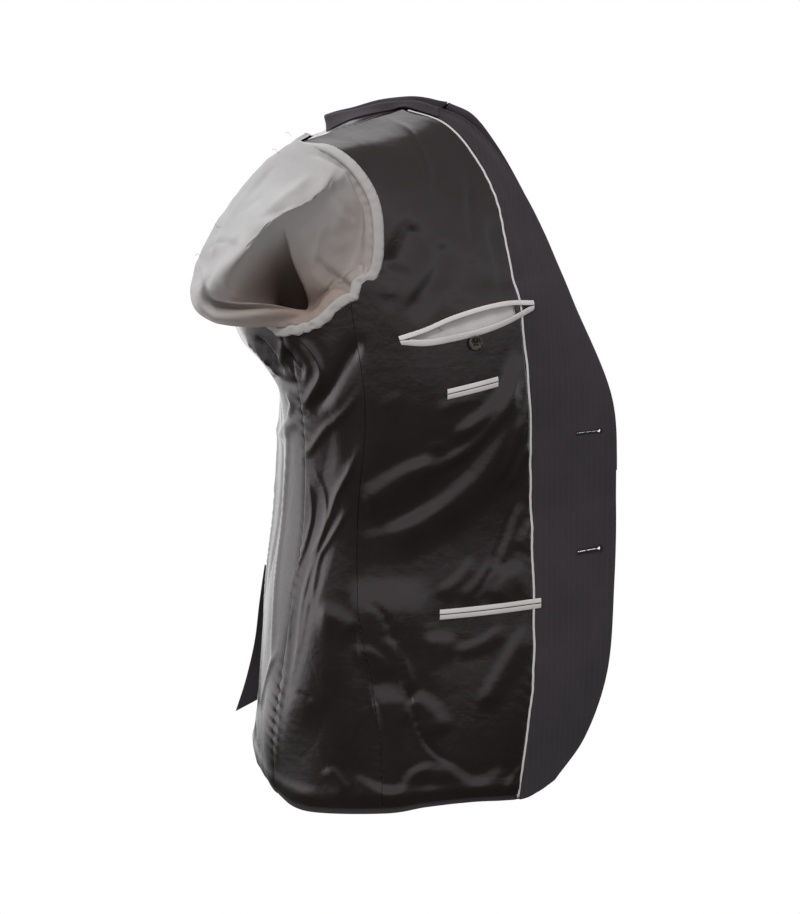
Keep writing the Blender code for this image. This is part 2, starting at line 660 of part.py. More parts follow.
def build_sleeve(side):
    word = side_word(side)
    grid = grid_normals([[sleeve_point(side, h, w) for w in STATIONS] for h in HOURS], side)
    wall("sleeve_lining_" + word, grid, 0.0, -LINING_T, grey_look("sleeve_lining_" + word), closed=True)
    top = -(LINING_T + LAYER_GAP)
    grid = [column[WOOL_FROM:] for column in grid]
    wall("sleeve_shell_" + word, grid, top, top - WOOL_T, wool_look("sleeve_shell_" + word), closed=True)


BAND_LIFT = [(3.0, 0, 0), (1.6, 0, 0), (1.3, 0, 0), (1.4, 0, 0), (1.5, 0, 0), (1.6, 0, 0), (1.8, 0, 0),
             (2.2, 0, 0), (1.4, 0, 0), (1.2, 0, 0), (1.2, 0, 0), (1.6, 0, 0)]   # by hour, mm


def build_band(side):
    word = side_word(side)
    grid = []
    for h in HOURS:
        point, normal, away = ring_frame(side, h)
        lift = normal * (around(table(BAND_LIFT), h).x)
        grid.append([(point + away * (BAND_W * t) + lift, normal) for t in (0.05, 1.0)])
    wall("armhole_band_" + word, grid, 0.0010, 0.0, grey_look("armhole_band_" + word), closed=True)


# ------------------------------------------------------- pockets on the left front
def on_left_front(x, z, guess_u, guess_v):
    u, v = find_level(-1, x, z, guess_u, guess_v)
    return skin(-1, u, v)


def build_breast_pocket():
    rows = [[value * MM for value in row] for row in BREAST]
    ts = spaced(0.0, len(rows) - 1.0, 13)
    tops = [along([Vector((r[0], 0, r[1])) for r in rows], t) for t in ts]
    lows = [along([Vector((r[2], 0, r[3])) for r in rows], t) for t in ts]
    for name, edge, other, width in (("upper", tops, lows, WELT_W[0]), ("lower", lows, tops, WELT_W[1])):
        grid = []
        for a, b in zip(edge, other):
            inward = (b - a)
            reach = min(width * MM, inward.length * 0.5 - 0.0003)
            stop = a + inward.normalized() * reach
            grid.append([on_left_front(a.x, a.z, 8.0, 5.8), on_left_front(stop.x, stop.z, 8.0, 5.8)])
        wall("breast_pocket_welt_" + name, grid, 0.0022, 0.0010, grey_look("breast_welt_" + name))
    grid = []
    for u in spaced(MOUTH_FROM - 0.08, MOUTH_TO + 0.04, 8):
        low = level_at(MOUTH_BOTTOM, u) - 0.10
        high = level_at(MOUTH_TOP, u) + 0.10
        grid.append([skin(-1, u, low), skin(-1, u, (low + high) / 2), skin(-1, u, high)])
    wall("breast_pocket_bag", grid, -POCKET_DEPTH, -POCKET_DEPTH - LINING_T, grey_look("breast_bag"))


def build_jets(name, ends):
    a = Vector((ends[0][0], 0, ends[0][1])) * MM
    b = Vector((ends[1][0], 0, ends[1][1])) * MM
    for part, sign in (("upper", 1.0), ("lower", -1.0)):
        grid = []
        for t in spaced(0.0, 1.0, 6):
            mid = a.lerp(b, t)
            line = []
            for reach in (0.0003, JET * MM):
                z = mid.z + sign * reach
                line.append(on_left_front(mid.x, z, 8.0, 5.2 if mid.z > -0.4 else 3.0))
            grid.append(line)
        wall(name + "_jet_" + part, grid, 0.0020, 0.0010, grey_look(name + "_" + part))


# ------------------------------------------------------------------------ buttons
def build_button(name, at, normal, radius, thick, shank, mat):
    """Round sew-through button with a raised rim, on a thread shank."""
    side = normal.orthogonal().normalized()
    up = normal.cross(side).normalized()
    profile = [(0.0, 0.0), (0.0014, 0.0), (0.0014, shank), (radius * 0.72, shank), (radius, shank + thick * 0.45),
               (radius * 0.93, shank + thick), (radius * 0.78, shank + thick), (radius * 0.62, shank + thick * 0.7),
               (0.0, shank + thick * 0.62)]
    count = 16
    verts, faces, rings = [], [], []
    for r, h in profile:
        if r == 0.0:
            rings.append([len(verts)])
            verts.append(at + normal * h)
            continue
        ring = []
        for k in range(count):
            a = 2 * math.pi * k / count
            ring.append(len(verts))
            verts.append(at + normal * h + (side * math.cos(a) + up * math.sin(a)) * r)
        rings.append(ring)
    for low, high in zip(rings, rings[1:]):
        for k in range(count):
            m = (k + 1) % count
            if len(low) == 1:
                faces.append((low[0], high[k], high[m]))
            elif len(high) == 1:
                faces.append((low[k], low[m], high[0]))
            else:
                faces.append((low[k], low[m], high[m], high[k]))
    return solid(name, verts, faces, mat)


def build_buttons():
    horn = material("horn", (0.030, 0.024, 0.022), 0.22)
    point, normal = on_left_front(75.7 * MM, -237.4 * MM, 8.0, 5.6)
    build_button("pocket_button", point + normal * 0.0004, normal, BUTTON_R, 0.0026, 0.0024, horn)
    for k, z in enumerate(BUTTONS_AT):
        v = 4.75 if k == 0 else 3.5
        for _ in range(12):
            p = skin_point(1, True, 10.72, v)
            v += (z * MM - p.z) / 0.09
        point, normal = skin(1, 10.72, v, gorge=True)
        foot = point - normal * (2 * WOOL_T + LAYER_GAP + 0.0004)
        build_button("front_button_%d" % (k + 1), foot, -normal, FRONT_BUTTON_R, 0.0034, 0.0020, horn)


# ---------------------------------------------------------------------- back vent
# Corner of the right back vent turned outward, seen as a wool flap.
# Columns: x, y, z along the root, then x, y, z along the free edge, mm.
VENT = [(-145.5, 3.5, -500, -146.5, 3.0, -498), (-150, 5.5, -540, -152.5, 4.0, -541),
        (-153.5, 7.5, -580, -158, 5.5, -583), (-157, 10, -620, -168.5, 8.5, -627),
        (-160, 12.5, -650, -180, 12.0, -663)]


def build_vent():
    grid = []
    for row in VENT:
        root = Vector(row[0:3]) * MM
        free = Vector(row[3:6]) * MM
        line = []
        for t in (0.0, 0.5, 1.0):
            line.append((root.lerp(free, t), Vector((0.05, -1.0, 0.05)).normalized()))
        grid.append(line)
    wall("vent_facing_right", grid, 0.0007, -0.0007, wool_look("vent_facing"))


def main():
    clear_scene()
    for side in (-1, 1):
        build_body_lining(side)
        build_piping(side)
        build_facing(side)
        build_shell(side)
        build_sleeve(side)
        build_band(side)
    build_collar()
    build_breast_pocket()
    build_jets("pen_pocket", PEN_POCKET)
    build_jets("ticket_pocket", TICKET_POCKET)
    build_buttons()
    build_vent()


main()
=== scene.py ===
# Suit jacket turned inside out and held in the hollow form it has when worn.
# Metres, +Z up, +X to the open fronts, -Y to the garment's left front.
# Tables are in millimetres; guides run from the centre back (0) round to the
# front edge (11), and levels from the hem (0) up to the shoulder seam (12).
import math
import bmesh
import bpy
import numpy as np
from mathutils import Matrix, Vector


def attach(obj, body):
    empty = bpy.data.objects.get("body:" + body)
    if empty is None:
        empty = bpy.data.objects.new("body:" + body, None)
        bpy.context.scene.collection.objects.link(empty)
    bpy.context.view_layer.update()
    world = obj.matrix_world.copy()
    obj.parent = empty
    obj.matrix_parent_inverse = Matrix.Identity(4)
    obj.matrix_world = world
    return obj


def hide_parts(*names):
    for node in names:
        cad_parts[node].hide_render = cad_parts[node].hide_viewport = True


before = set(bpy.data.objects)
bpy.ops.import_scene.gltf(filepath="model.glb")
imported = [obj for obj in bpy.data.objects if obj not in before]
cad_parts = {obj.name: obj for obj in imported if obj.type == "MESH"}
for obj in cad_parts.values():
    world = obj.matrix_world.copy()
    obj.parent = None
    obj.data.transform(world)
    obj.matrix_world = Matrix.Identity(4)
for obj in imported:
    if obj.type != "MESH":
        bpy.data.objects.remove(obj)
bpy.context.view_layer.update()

# ---------------------------------------------------------------- front lining
# The front panels of the body lining: black satin, cut on the straight grain and
# sewn to the facing over a piping.  It hangs loose on the wool, so it carries most
# of the drag lines and folds of the jacket.
MM = 0.001
GUIDES = [
    # centre back
    [(-161, 0, -699), (-155, 0, -645), (-149, 0, -575), (-144, 0, -497), (-134, 0, -410),
     (-130, 0, -292), (-170, 0, -246), (-179, 0, -203), (-174, 0, -156), (-157, 0, -107),
     (-131, 0, -70), (-104, 0, -47), (-77, 0, -31)],
    # back neck
    [(-157, -40, -706), (-154, -41, -650), (-149, -42, -579), (-143, -43, -500), (-133, -44, -411),
     (-130, -45, -293), (-169, -45, -245), (-179, -42, -203), (-175, -41, -157), (-160, -41, -108),
     (-133, -43, -68), (-98, -47, -40), (-50, -52, -15.5)],
    # back middle
    [(-150, -76, -709), (-151, -79, -653), (-146, -82, -582), (-140, -84, -502), (-130, -85, -412),
     (-128, -92, -297), (-166, -90, -243), (-177, -85, -203), (-174, -82, -158), (-160, -81, -110),
     (-130, -81, -67), (-80, -81, -31), (5, -75, -3)],
    # shoulder blade
    [(-142, -106, -713), (-146, -113, -656), (-140, -118, -586), (-132, -122, -505), (-121, -125, -414),
     (-121, -140, -302), (-155, -150, -236), (-170, -136, -200), (-171, -131, -160), (-163, -128, -115),
     (-143, -128, -75), (-104, -130, -41), (-49, -127.5, -18.5)],
    # seam of back and side
    [(-130, -133, -720.5), (-133.5, -145, -658), (-125, -152, -590), (-113, -157, -510), (-100, -160, -416),
     (-101, -174, -308), (-124, -185, -222), (-150, -172, -209), (-166, -162, -172), (-165, -161, -128),
     (-152, -166, -88), (-131, -173, -55), (-103, -180, -34)],
    # side middle
    [(-98, -167, -731), (-92, -174, -662), (-79, -180, -594), (-79, -176, -513), (-72, -173, -418),
     (-70, -189, -305), (-88, -191, -213), (-92, -200, -180), (-96, -202, -150), (-98, -201, -112),
     (-100, -197, -78), (-102, -190, -50), (-103, -180, -34)],
    # seam of side and front
    [(-17.5, -191, -727.5), (-20.5, -191, -660), (-28.5, -187, -593), (-42.5, -182, -515), (-43, -178, -418),
     (-35.5, -193, -303), (-50, -190, -186), (-30, -190, -163), (-25.5, -189, -130), (-30, -187, -93),
     (-48, -186, -62), (-73, -184, -42), (-103, -180, -34)],
    # front third
    [(28, -195, -719.5), (27, -195, -661), (25, -192, -592), (17, -187, -512), (17, -184, -417),
     (22, -198, -305), (8, -196, -200), (16, -190, -168), (18, -181, -132), (13, -170, -95),
     (0, -158, -63), (-25, -149, -37), (-67, -145, -23.7)],
    # front middle
    [(76, -187, -716), (80, -188, -660), (83, -184, -590), (79, -178, -508), (77, -174, -416),
     (79, -184, -305), (68, -182, -205), (69, -172, -170), (64, -160, -133), (55, -145, -95),
     (42, -129, -60), (16, -116, -30), (-31, -110, -13.3)],
    # piping
    [(123.5, -170, -717.6), (130.5, -168, -661), (138.5, -164, -592), (139, -157, -504), (136, -151, -415),
     (133, -155, -305), (124.5, -152, -205), (116, -146, -172), (108.5, -134, -133), (98.5, -119, -92),
     (79.5, -102, -54), (47, -88, -17.8), (5, -75, -3)],
    # facing middle
    [(144.5, -160, -711.5), (164.5, -150, -656), (180, -145, -589), (184, -138, -500), (183, -131, -413),
     (178, -136, -303), (153, -133, -202), (140, -126, -166), (127.5, -116, -129), (113.5, -106, -90.5),
     (90.5, -95.5, -49.5), (64.5, -88, -21.5), (38.5, -81, -8)],
    # front edge
    [(162.5, -150, -701), (195.5, -132, -656.5), (218.5, -125, -587), (225.2, -119, -498),
     (226.5, -112, -413), (220, -117, -306), (180.5, -110, -202), (164, -104, -163), (147.5, -99, -127),
     (128, -94, -91), (100, -87, -49.5), (69, -82, -17), (40, -78.5, -3.5)],
]
CENTRE_BACK, NECK_POINT, BACK_SEAM, SIDE_SEAM, PIPE, EDGE = 0, 2, 4, 6, 9, 11
ARMHOLE_FOOT, SHOULDER = 6, 12
# The facing meets the collar a little lower than the piping line does.
GORGE = [(60, -92, -28), (38.5, -85, -13.3)]
# The right front hangs back and inwards of the left one: back, inwards, by level.
RIGHT_HANG = [(-12, 12), (-20, 25), (-30, 36), (-36, 43), (-37, 44), (-31, 38), (-9, 14),
              (-3, 5), (0, 1), (1, 0), (4, 0), (9, 0), (11, 0)]
HANG_SHARE = {9: 0.12, 10: 0.55, 11: 1.0}
# The right shoulder is lower: drop by level, and the share each guide takes.
RIGHT_DROP = [0, 0, 0, 0, 0, 0, 0, 1, 2, 4, 6, 8, 9]
DROP_SHARE = {2: 0.15, 3: 0.6, 4: 1.0, 5: 1.0, 6: 1.0, 7: 0.65, 8: 0.3}
LEFT, RIGHT = -1, 1
WORD = {LEFT: "left", RIGHT: "right"}


def ease(t):
    """Weights of four neighbours on a smooth curve, at share t of the middle span."""
    return 0.5 * np.stack([-t + 2 * t**2 - t**3, 2 - 5 * t**2 + 3 * t**3,
                           t + 4 * t**2 - 3 * t**3, t**3 - t**2], axis=-1)


def through(points, t):
    """Smooth open curve through points, t counted in whole points."""
    points = np.asarray(points, float)
    t = np.atleast_1d(np.asarray(t, float))
    padded = np.concatenate([[2 * points[0] - points[1]], points, [2 * points[-1] - points[-2]]])
    i = np.clip(np.floor(t), 0, len(points) - 2).astype(int)
    share = ease(t - i).reshape(len(t), 4, *[1] * (points.ndim - 1))
    return sum(share[:, k] * padded[i + k] for k in range(4))


def smooth_step(t):
    """From 0 to 1, slow at both ends."""
    t = np.clip(t, 0.0, 1.0)
    return t * t * (3 - 2 * t)


def unit(rows):
    """Rows made one long."""
    return rows / np.maximum(np.linalg.norm(rows, axis=-1, keepdims=True), 1e-12)


def half_net(side, gorge):
    """Guides of one half by level, padded all round for the smooth curves."""
    net = np.array(GUIDES, float)
    if gorge:
        net[PIPE, -2:] = GORGE
    if side == RIGHT:
        for guide, share in HANG_SHARE.items():
            net[guide, :, :2] += np.array(RIGHT_HANG) * share
        for guide, share in DROP_SHARE.items():
            net[guide, :, 2] -= np.array(RIGHT_DROP) * share
        net[:, :, 1] *= -1
    net = net * MM
    net = np.concatenate([net[1:2] * (1, -1, 1), net, 2 * net[-1:] - net[-2:-1]])
    return np.concatenate([2 * net[:, :1] - net[:, 1:2], net, 2 * net[:, -1:] - net[:, -2:-1]], axis=1)


NETS = {(side, gorge): half_net(side, gorge) for side in (LEFT, RIGHT) for gorge in (False, True)}


def body(side, u, v, gorge=False):
    """Points of the body at guides u and levels v; with gorge, its top follows the collar."""
    net = NETS[side, gorge]
    i = np.clip(np.floor(u), 0, len(GUIDES) - 2).astype(int)
    j = np.clip(np.floor(v), 0, SHOULDER - 1).astype(int)
    up = ease(v - j)
    near = [sum(net[i + a, j + b] * up[:, b, None] for b in range(4)) for a in range(4)]
    if gorge:
        share = np.where(i == PIPE, np.clip(v - 9.5, 0, 1), 0)[:, None]
        near[0] = near[0] + (2 * near[1] - near[2] - near[0]) * share
    across = ease(u - i)
    return sum(near[a] * across[:, a, None] for a in range(4))


LEAST_PER_GUIDE = 0.010    # metres of cloth, where guides meet at the shoulder


def directions(side, u, v, gorge):
    """Move per guide, and the outward normal."""
    step = 0.004
    across = (body(side, u + step, v, gorge) - body(side, u - step, v, gorge)) / (2 * step)
    up = (body(side, u, v + step, gorge) - body(side, u, v - step, gorge)) / (2 * step)
    pinched = np.linalg.norm(across, axis=1) < 0.004
    lower = np.minimum(v, SHOULDER - 0.3)
    open_across = (body(side, u + step, lower, gorge) - body(side, u - step, lower, gorge)) / (2 * step)
    across = np.where(pinched[:, None], open_across, across)
    return across, unit(np.cross(across, up)) * -side


def skin(side, u, v, gorge=False):
    """Body points with their normals, metres of cloth per guide and moves per guide."""
    u, v = np.broadcast_arrays(np.asarray(u, float), np.asarray(v, float))
    u, v = u.ravel(), v.ravel()
    points = body(side, u, v, gorge)
    across, normal = directions(side, u, v, gorge)
    if not gorge:
        # Back and front meet on one straight shoulder seam.
        back = (u >= NECK_POINT) & (u <= BACK_SEAM)
        front = (u >= SIDE_SEAM) & (u <= PIPE)
        share = np.where(back, (u - NECK_POINT) / 2, (PIPE - u) / 3)
        lean = np.where(back | front, smooth_step(v - SHOULDER + 1), 0)[:, None]
        top = np.full_like(u, SHOULDER)
        neck, tip = body(side, np.array([NECK_POINT, BACK_SEAM]), np.array([SHOULDER, SHOULDER]))
        seam = neck + (tip - neck) * share[:, None]
        points = points + (seam - body(side, u, top)) * lean
        twin = np.where(back, SIDE_SEAM + (BACK_SEAM - u) * 1.5, BACK_SEAM - (u - SIDE_SEAM) / 1.5)
        other = directions(side, np.clip(twin, 0, EDGE), top, False)[1]
        normal = unit(normal + other * lean)
    return points, normal, np.maximum(np.linalg.norm(across, axis=1), LEAST_PER_GUIDE), across


# Folds of the left half.  Each row: width at the start and at the end, how far it
# stands out (or in, if negative), then guide and height along the fold.
RIDGES = [
    # crisp creases of the front
    (4, 4, -2.6, (6.1, -503), (6.45, -517), (6.6, -555), (6.7, -606), (7.05, -654), (7.7, -680)),
    (3.2, 3.2, -2.3, (7.9, -508), (8.25, -474), (8.55, -433), (8.8, -392)),
    # wavy ripples of the side, from the arm down to the hem
    (7, 7, 2.0, (6.05, -280), (5.45, -306), (4.75, -326), (4.25, -347), (3.8, -358)),
    (8, 7, 2.6, (6.0, -332), (5.65, -368), (5.25, -393), (5, -419), (4.7, -449), (4.5, -481)),
    (6, 5, 1.8, (4.65, -455), (4.45, -487), (4.4, -519), (4.4, -559), (4.35, -602)),
    (6, 6, 1.8, (5.9, -399), (5.55, -418), (5.15, -438), (4.8, -459), (4.7, -487), (4.7, -512)),
    (5, 5, 1.4, (4.6, -493), (4.55, -520), (4.5, -542), (4.45, -565)),
    (5, 5, 1.8, (4.15, -366), (4.55, -380), (4.85, -402), (4.85, -426), (4.6, -449), (4.4, -471)),
    (5, 5, 1.6, (3.9, -371), (4.25, -393), (4.35, -418), (4.2, -448), (4.0, -481), (4.0, -521)),
    (5, 5, 1.5, (4.05, -497), (4.05, -531), (4.15, -566), (4.15, -603), (4.15, -638)),
    (5, 4, 1.3, (4.15, -580), (4.15, -615), (4.2, -647), (4.15, -692)),
    (6, 6, -1.0, (4.5, -601), (4.65, -606), (4.85, -610)),
    # deep gathers under the arm
    (9, 8, 3.4, (4.4, -231), (4.75, -247), (4.85, -268), (4.45, -289), (3.95, -309)),
    (7, 7, 2.4, (3.95, -234), (3.85, -246), (3.55, -264)),
    (16, 14, -5.5, (6.2, -229), (5.65, -257), (5.05, -284), (4.3, -312)),
    (12, 12, -5.0, (3.95, -242), (4.1, -261), (4.4, -266)),
    (9, 9, -3.5, (2.6, -276), (3.4, -279), (4.2, -281)),
    (8, 7, 2.4, (3.4, -290), (3.6, -302), (3.2, -321)),
    (10, 12, 2.6, (2.4, -350), (2.8, -332), (3.9, -318)),
    (9, 8, -4.5, (3.3, -230), (3.45, -250), (3.6, -274)),
    (6, 6, 2.4, (3.05, -236), (3.15, -256), (3.3, -277)),
    # shoulder pleat
    (4, 3.5, 0.9, (8.4, -12), (8.1, -24), (7.85, -39), (7.7, -59), (7.45, -89)),
    # back
    (8, 8, 2.6, (2.8, -236), (3.0, -250), (3.25, -263)),
    (14, 12, 2.5, (1.0, -300), (1.6, -420), (0.9, -560)),
    (12, 9, -2.0, (2.2, -280), (2.6, -400), (2.1, -520)),
    (12, 8, 2.5, (3.2, -300), (3.0, -450), (3.5, -600)),
    (16, 12, -2.0, (3.6, -215), (2.4, -150), (1.2, -120)),
    (12, 9, 1.8, (3.7, -190), (2.8, -120), (2.0, -90)),
    (18, 14, -3.0, (0.2, -285), (1.4, -300), (3.0, -285)),
    (16, 12, 2.0, (0.1, -330), (1.8, -345), (3.6, -330)),
    (8, 8, 2.0, (0.6, -690), (1.3, -660), (2.2, -690)),
    (10, 8, 2.0, (2.6, -640), (3.1, -600), (3.8, -560)),
]
# Where the cloth breaks and turns its face up or aside: the same columns, and the
# cloth steps out on the right hand of the line, then settles back.
BREAKS = [
    # waist folds of the front, fanning from the side seam up to the pocket
    (13, 17, 5.6, (5.75, -442), (6.6, -426), (7.2, -407), (7.65, -386), (8.0, -366), (8.35, -330),
     (8.6, -295), (8.8, -258)),
    (21, 9, 6.0, (5.9, -397), (6.35, -380), (6.8, -362), (7.35, -349)),
    (5, 6, 3.2, (7.0, -368), (7.65, -347), (8.1, -327), (8.45, -299), (8.7, -264)),
    (7, 12, 3.8, (7.4, -332), (7.85, -317), (8.3, -298), (8.55, -274), (8.8, -243)),
    (4, 5, 1.5, (7.2, -304), (7.6, -294), (8.2, -287)),
    (4, 4, 1.2, (7.05, -342), (7.25, -338), (7.5, -340)),
    (3, 3, 0.8, (6.2, -302), (6.45, -294), (6.7, -286)),
    (6, 6, 2.4, (8.5, -390), (8.7, -363), (8.95, -340)),
    (4, 4, 1.6, (8.72, -352), (8.82, -322), (8.95, -292)),
    (5, 5, 2.2, (8.35, -382), (8.55, -347), (8.72, -312)),
    # hip
    (32, 38, 4.8, (5.65, -498), (6.5, -497), (7.4, -495)),
    (13, 13, 2.4, (4.85, -509), (5.5, -515), (6.05, -530)),
    (8, 9, 1.6, (5.65, -551), (6.2, -555), (6.55, -579)),
    (20, 22, 3.2, (5.85, -603), (6.35, -598), (6.75, -600)),
    (7, 9, 1.9, (6.5, -536), (6.7, -563), (6.9, -600)),
    (13, 13, 2.6, (6.8, -596), (7.15, -610), (7.55, -638)),
    (9, 10, 2.4, (7.9, -616), (8.3, -576), (8.8, -530)),
    (11, 11, 2.0, (7.05, -542), (7.35, -540), (7.65, -542)),
    (6, 6, 1.2, (7.55, -553), (8.0, -546), (8.45, -529)),
    (7, 7, 1.5, (7.3, -494), (7.65, -480), (7.95, -458)),
    (7, 8, 1.6, (7.65, -501), (8.05, -479), (8.3, -460)),
    (13, 15, 2.6, (8.15, -504), (8.4, -479), (8.85, -468)),
    (5, 6, 1.4, (8.3, -472), (8.55, -436), (8.75, -403)),
    (8, 8, 1.5, (8.65, -450), (8.8, -437), (9.0, -421)),
    # hem
    (7, 7, 1.8, (5.3, -677), (5.45, -689), (5.6, -705)),
    (8, 7, 2.0, (5.5, -680), (5.75, -692), (6.1, -701), (6.4, -697), (6.6, -683), (6.95, -675), (7.4, -678)),
    (9, 12, 2.4, (7.3, -665), (7.7, -685), (8.15, -692), (8.55, -675)),
    (4, 4, 1.0, (8.55, -709), (8.7, -695), (8.95, -677)),
    # hollows of the chest
    (14, 20, -4.2, (6.2, -160), (6.4, -138), (6.95, -104)),
    (9, 14, -3.0, (6.9, -210), (7.15, -182), (7.35, -154), (7.5, -129)),
    (6, 6, -1.0, (6.5, -192), (6.65, -188), (6.85, -188)),
    (8, 6, -1.5, (8.6, -197), (8.6, -165), (8.55, -135), (8.6, -109)),
    (4, 4, -0.9, (8.15, -140), (8.2, -108), (8.45, -72)),
    (14, 22, -2.4, (7.7, -199), (7.8, -173), (8.05, -144)),
    # the long corner where the side turns to the back
    (14, 36, 5.5, (4.25, -684), (4.3, -635), (4.35, -592), (4.45, -548), (4.6, -495), (4.8, -451),
     (5.05, -400), (5.35, -347), (5.6, -298)),
]


def other_half(rows):
    """Much the same folds on the right half, each a little moved and resized."""
    moved = []
    for n, (first, last, high, *path) in enumerate(rows):
        shift, drop = 0.28 * math.sin(2.1 * n), 20.0 * math.cos(1.7 * n)
        grow = 1 + 0.3 * math.sin(3.3 * n)
        moved.append((first * grow, last * grow, high / grow,
                      *[(min(max(u + shift, 0.1), 9.0), z + drop) for u, z in path]))
    return moved


FOLDS = {LEFT: (RIDGES, BREAKS), RIGHT: (other_half(RIDGES), other_half(BREAKS))}


def fold_heights(rows, u, z, girth, breaks):
    """How far each point is pushed out by the folds, metres."""
    push = np.zeros(len(u))
    for first, last, high, *path in rows:
        t = np.linspace(0, len(path) - 1, 24 * (len(path) - 1) + 1)
        track = through(path, t)
        share = t / (len(path) - 1)
        ends = smooth_step(np.minimum(share, 1 - share) / 0.22)
        wide = (first + (last - first) * share) * MM
        reach = wide.max() * (3.8 if breaks else 1.3)
        beyond = np.maximum(track[:, 0].min() - u, u - track[:, 0].max()) * girth
        over = np.maximum(track[:, 1].min() * MM - z, z - track[:, 1].max() * MM)
        near = np.flatnonzero((beyond < reach) & (over < reach))
        if len(near) == 0:
            continue
        off_u = (u[near, None] - track[:, 0]) * girth[near, None]
        off_z = z[near, None] - track[:, 1] * MM
        away = np.hypot(off_u, off_z)
        nearest = away.argmin(axis=1)
        rank = np.arange(len(near))
        if breaks:
            run, climb = np.gradient(track, axis=0)[nearest].T * (girth[near], np.full(len(near), MM))
            right = (climb * off_u[rank, nearest] - run * off_z[rank, nearest]) / np.hypot(run, climb)
            part = right / wide[nearest] + 0.5
            shape = 0.7 * np.clip(part, 0, 1) + 0.3 * smooth_step(part)
            shape = shape * (1 - smooth_step((part - 1) / 2.6))
        else:
            shape = np.exp(-(away[rank, nearest] / (wide[nearest] * 0.45)) ** 1.5)
        push[near] += high * MM * shape * ends[nearest]
    return push


# Seams of the lining: guide, depth of the dip, height, pitch and reach of its puckers, mm.
SEAMS = [(CENTRE_BACK, 0.4, 0.35, 13, 7), (BACK_SEAM, 0.8, 1.0, 13, 7),
         (SIDE_SEAM, 0.08, 0.2, 10, 6), (PIPE, 0.6, 0.35, 14, 9)]


def seam_heights(side, u, z, girth):
    """The groove of each seam and the uneven puckers along it."""
    push = np.zeros(len(u))
    for seam, dip, high, pitch, reach in SEAMS:
        away = np.abs(u - seam) * girth / MM
        wave = z / MM / pitch * 2 * math.pi + 1.9 * np.sin(z / MM / (pitch * 2.3) + seam + side)
        wave += 0.3 * (u - seam) * girth / MM        # they slant across the seam
        beat = np.sin(wave) * (0.5 + 0.5 * np.sin(z / MM / (pitch * 1.9) + 2.0 * seam))
        push += MM * (high * beat * np.exp(-away / reach) - dip * np.exp(-(away / 1.2) ** 2))
    return push


def crumple(side, u, z):
    """Loose, uneven swell of the cloth between the main folds."""
    a = u * 2.1 + z * 17 + side
    b = u * 3.7 - z * 11
    c = z * 43 + u * 1.3
    swell = np.sin(a + 1.3 * np.sin(b)) * 0.5 + np.sin(c + 1.1 * np.sin(a)) * 0.3
    return swell * 0.6 * MM


def drape(side, u, z, girth):
    """All that moves the cloth of one half off its smooth form, the same for every layer."""
    ridges, breaks = FOLDS[side]
    push = fold_heights(ridges, u, z, girth, False) + fold_heights(breaks, u, z, girth, True)
    push += seam_heights(side, u, z, girth) + crumple(side, u, z)
    calm = np.exp(-(np.maximum(u - PIPE, 0) * girth / 0.016) ** 2)
    return push * calm


def draped(side, u, v, out=0.0, gorge=False):
    """Points of the hanging cloth, moved out, with normals, moves per guide and heights."""
    points, normal, girth, across = skin(side, u, v, gorge)
    u = np.broadcast_to(np.asarray(u, float), len(points))
    z = points[:, 2]
    push = drape(side, u, z, girth) + out
    return points + normal * push[:, None], normal, across, z


def flat_positions(grid):
    """Position on the cut cloth of each grid point, from the lengths of its rows."""
    across = np.linalg.norm(np.diff(grid, axis=0), axis=2)
    up = np.linalg.norm(np.diff(grid, axis=1), axis=2)
    x = np.concatenate([np.zeros((1, grid.shape[1])), np.cumsum(across, axis=0)])
    y = np.concatenate([np.zeros((grid.shape[0], 1)), np.cumsum(up, axis=1)], axis=1)
    return np.stack([x, y - y[:, -1:]], axis=-1)


def to_object(name, bm):
    """A bmesh made an object of the scene."""
    mesh = bpy.data.meshes.new(name)
    bm.to_mesh(mesh)
    bm.free()
    made = bpy.data.objects.new(name, mesh)
    bpy.context.scene.collection.objects.link(made)
    return made


def finish_piece(name, bm, look, nodes, thick=0.0):
    """Turns a bmesh into a piece of the jacket, with a wall if it is cloth."""
    piece = to_object(name, bm)
    piece.data.shade_smooth()
    piece.data.materials.append(look)
    if thick:
        wall = piece.modifiers.new("wall", "SOLIDIFY")
        wall.thickness = thick
        wall.offset = -1.0
    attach(piece, "root")
    if nodes:
        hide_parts(*nodes)
    return piece


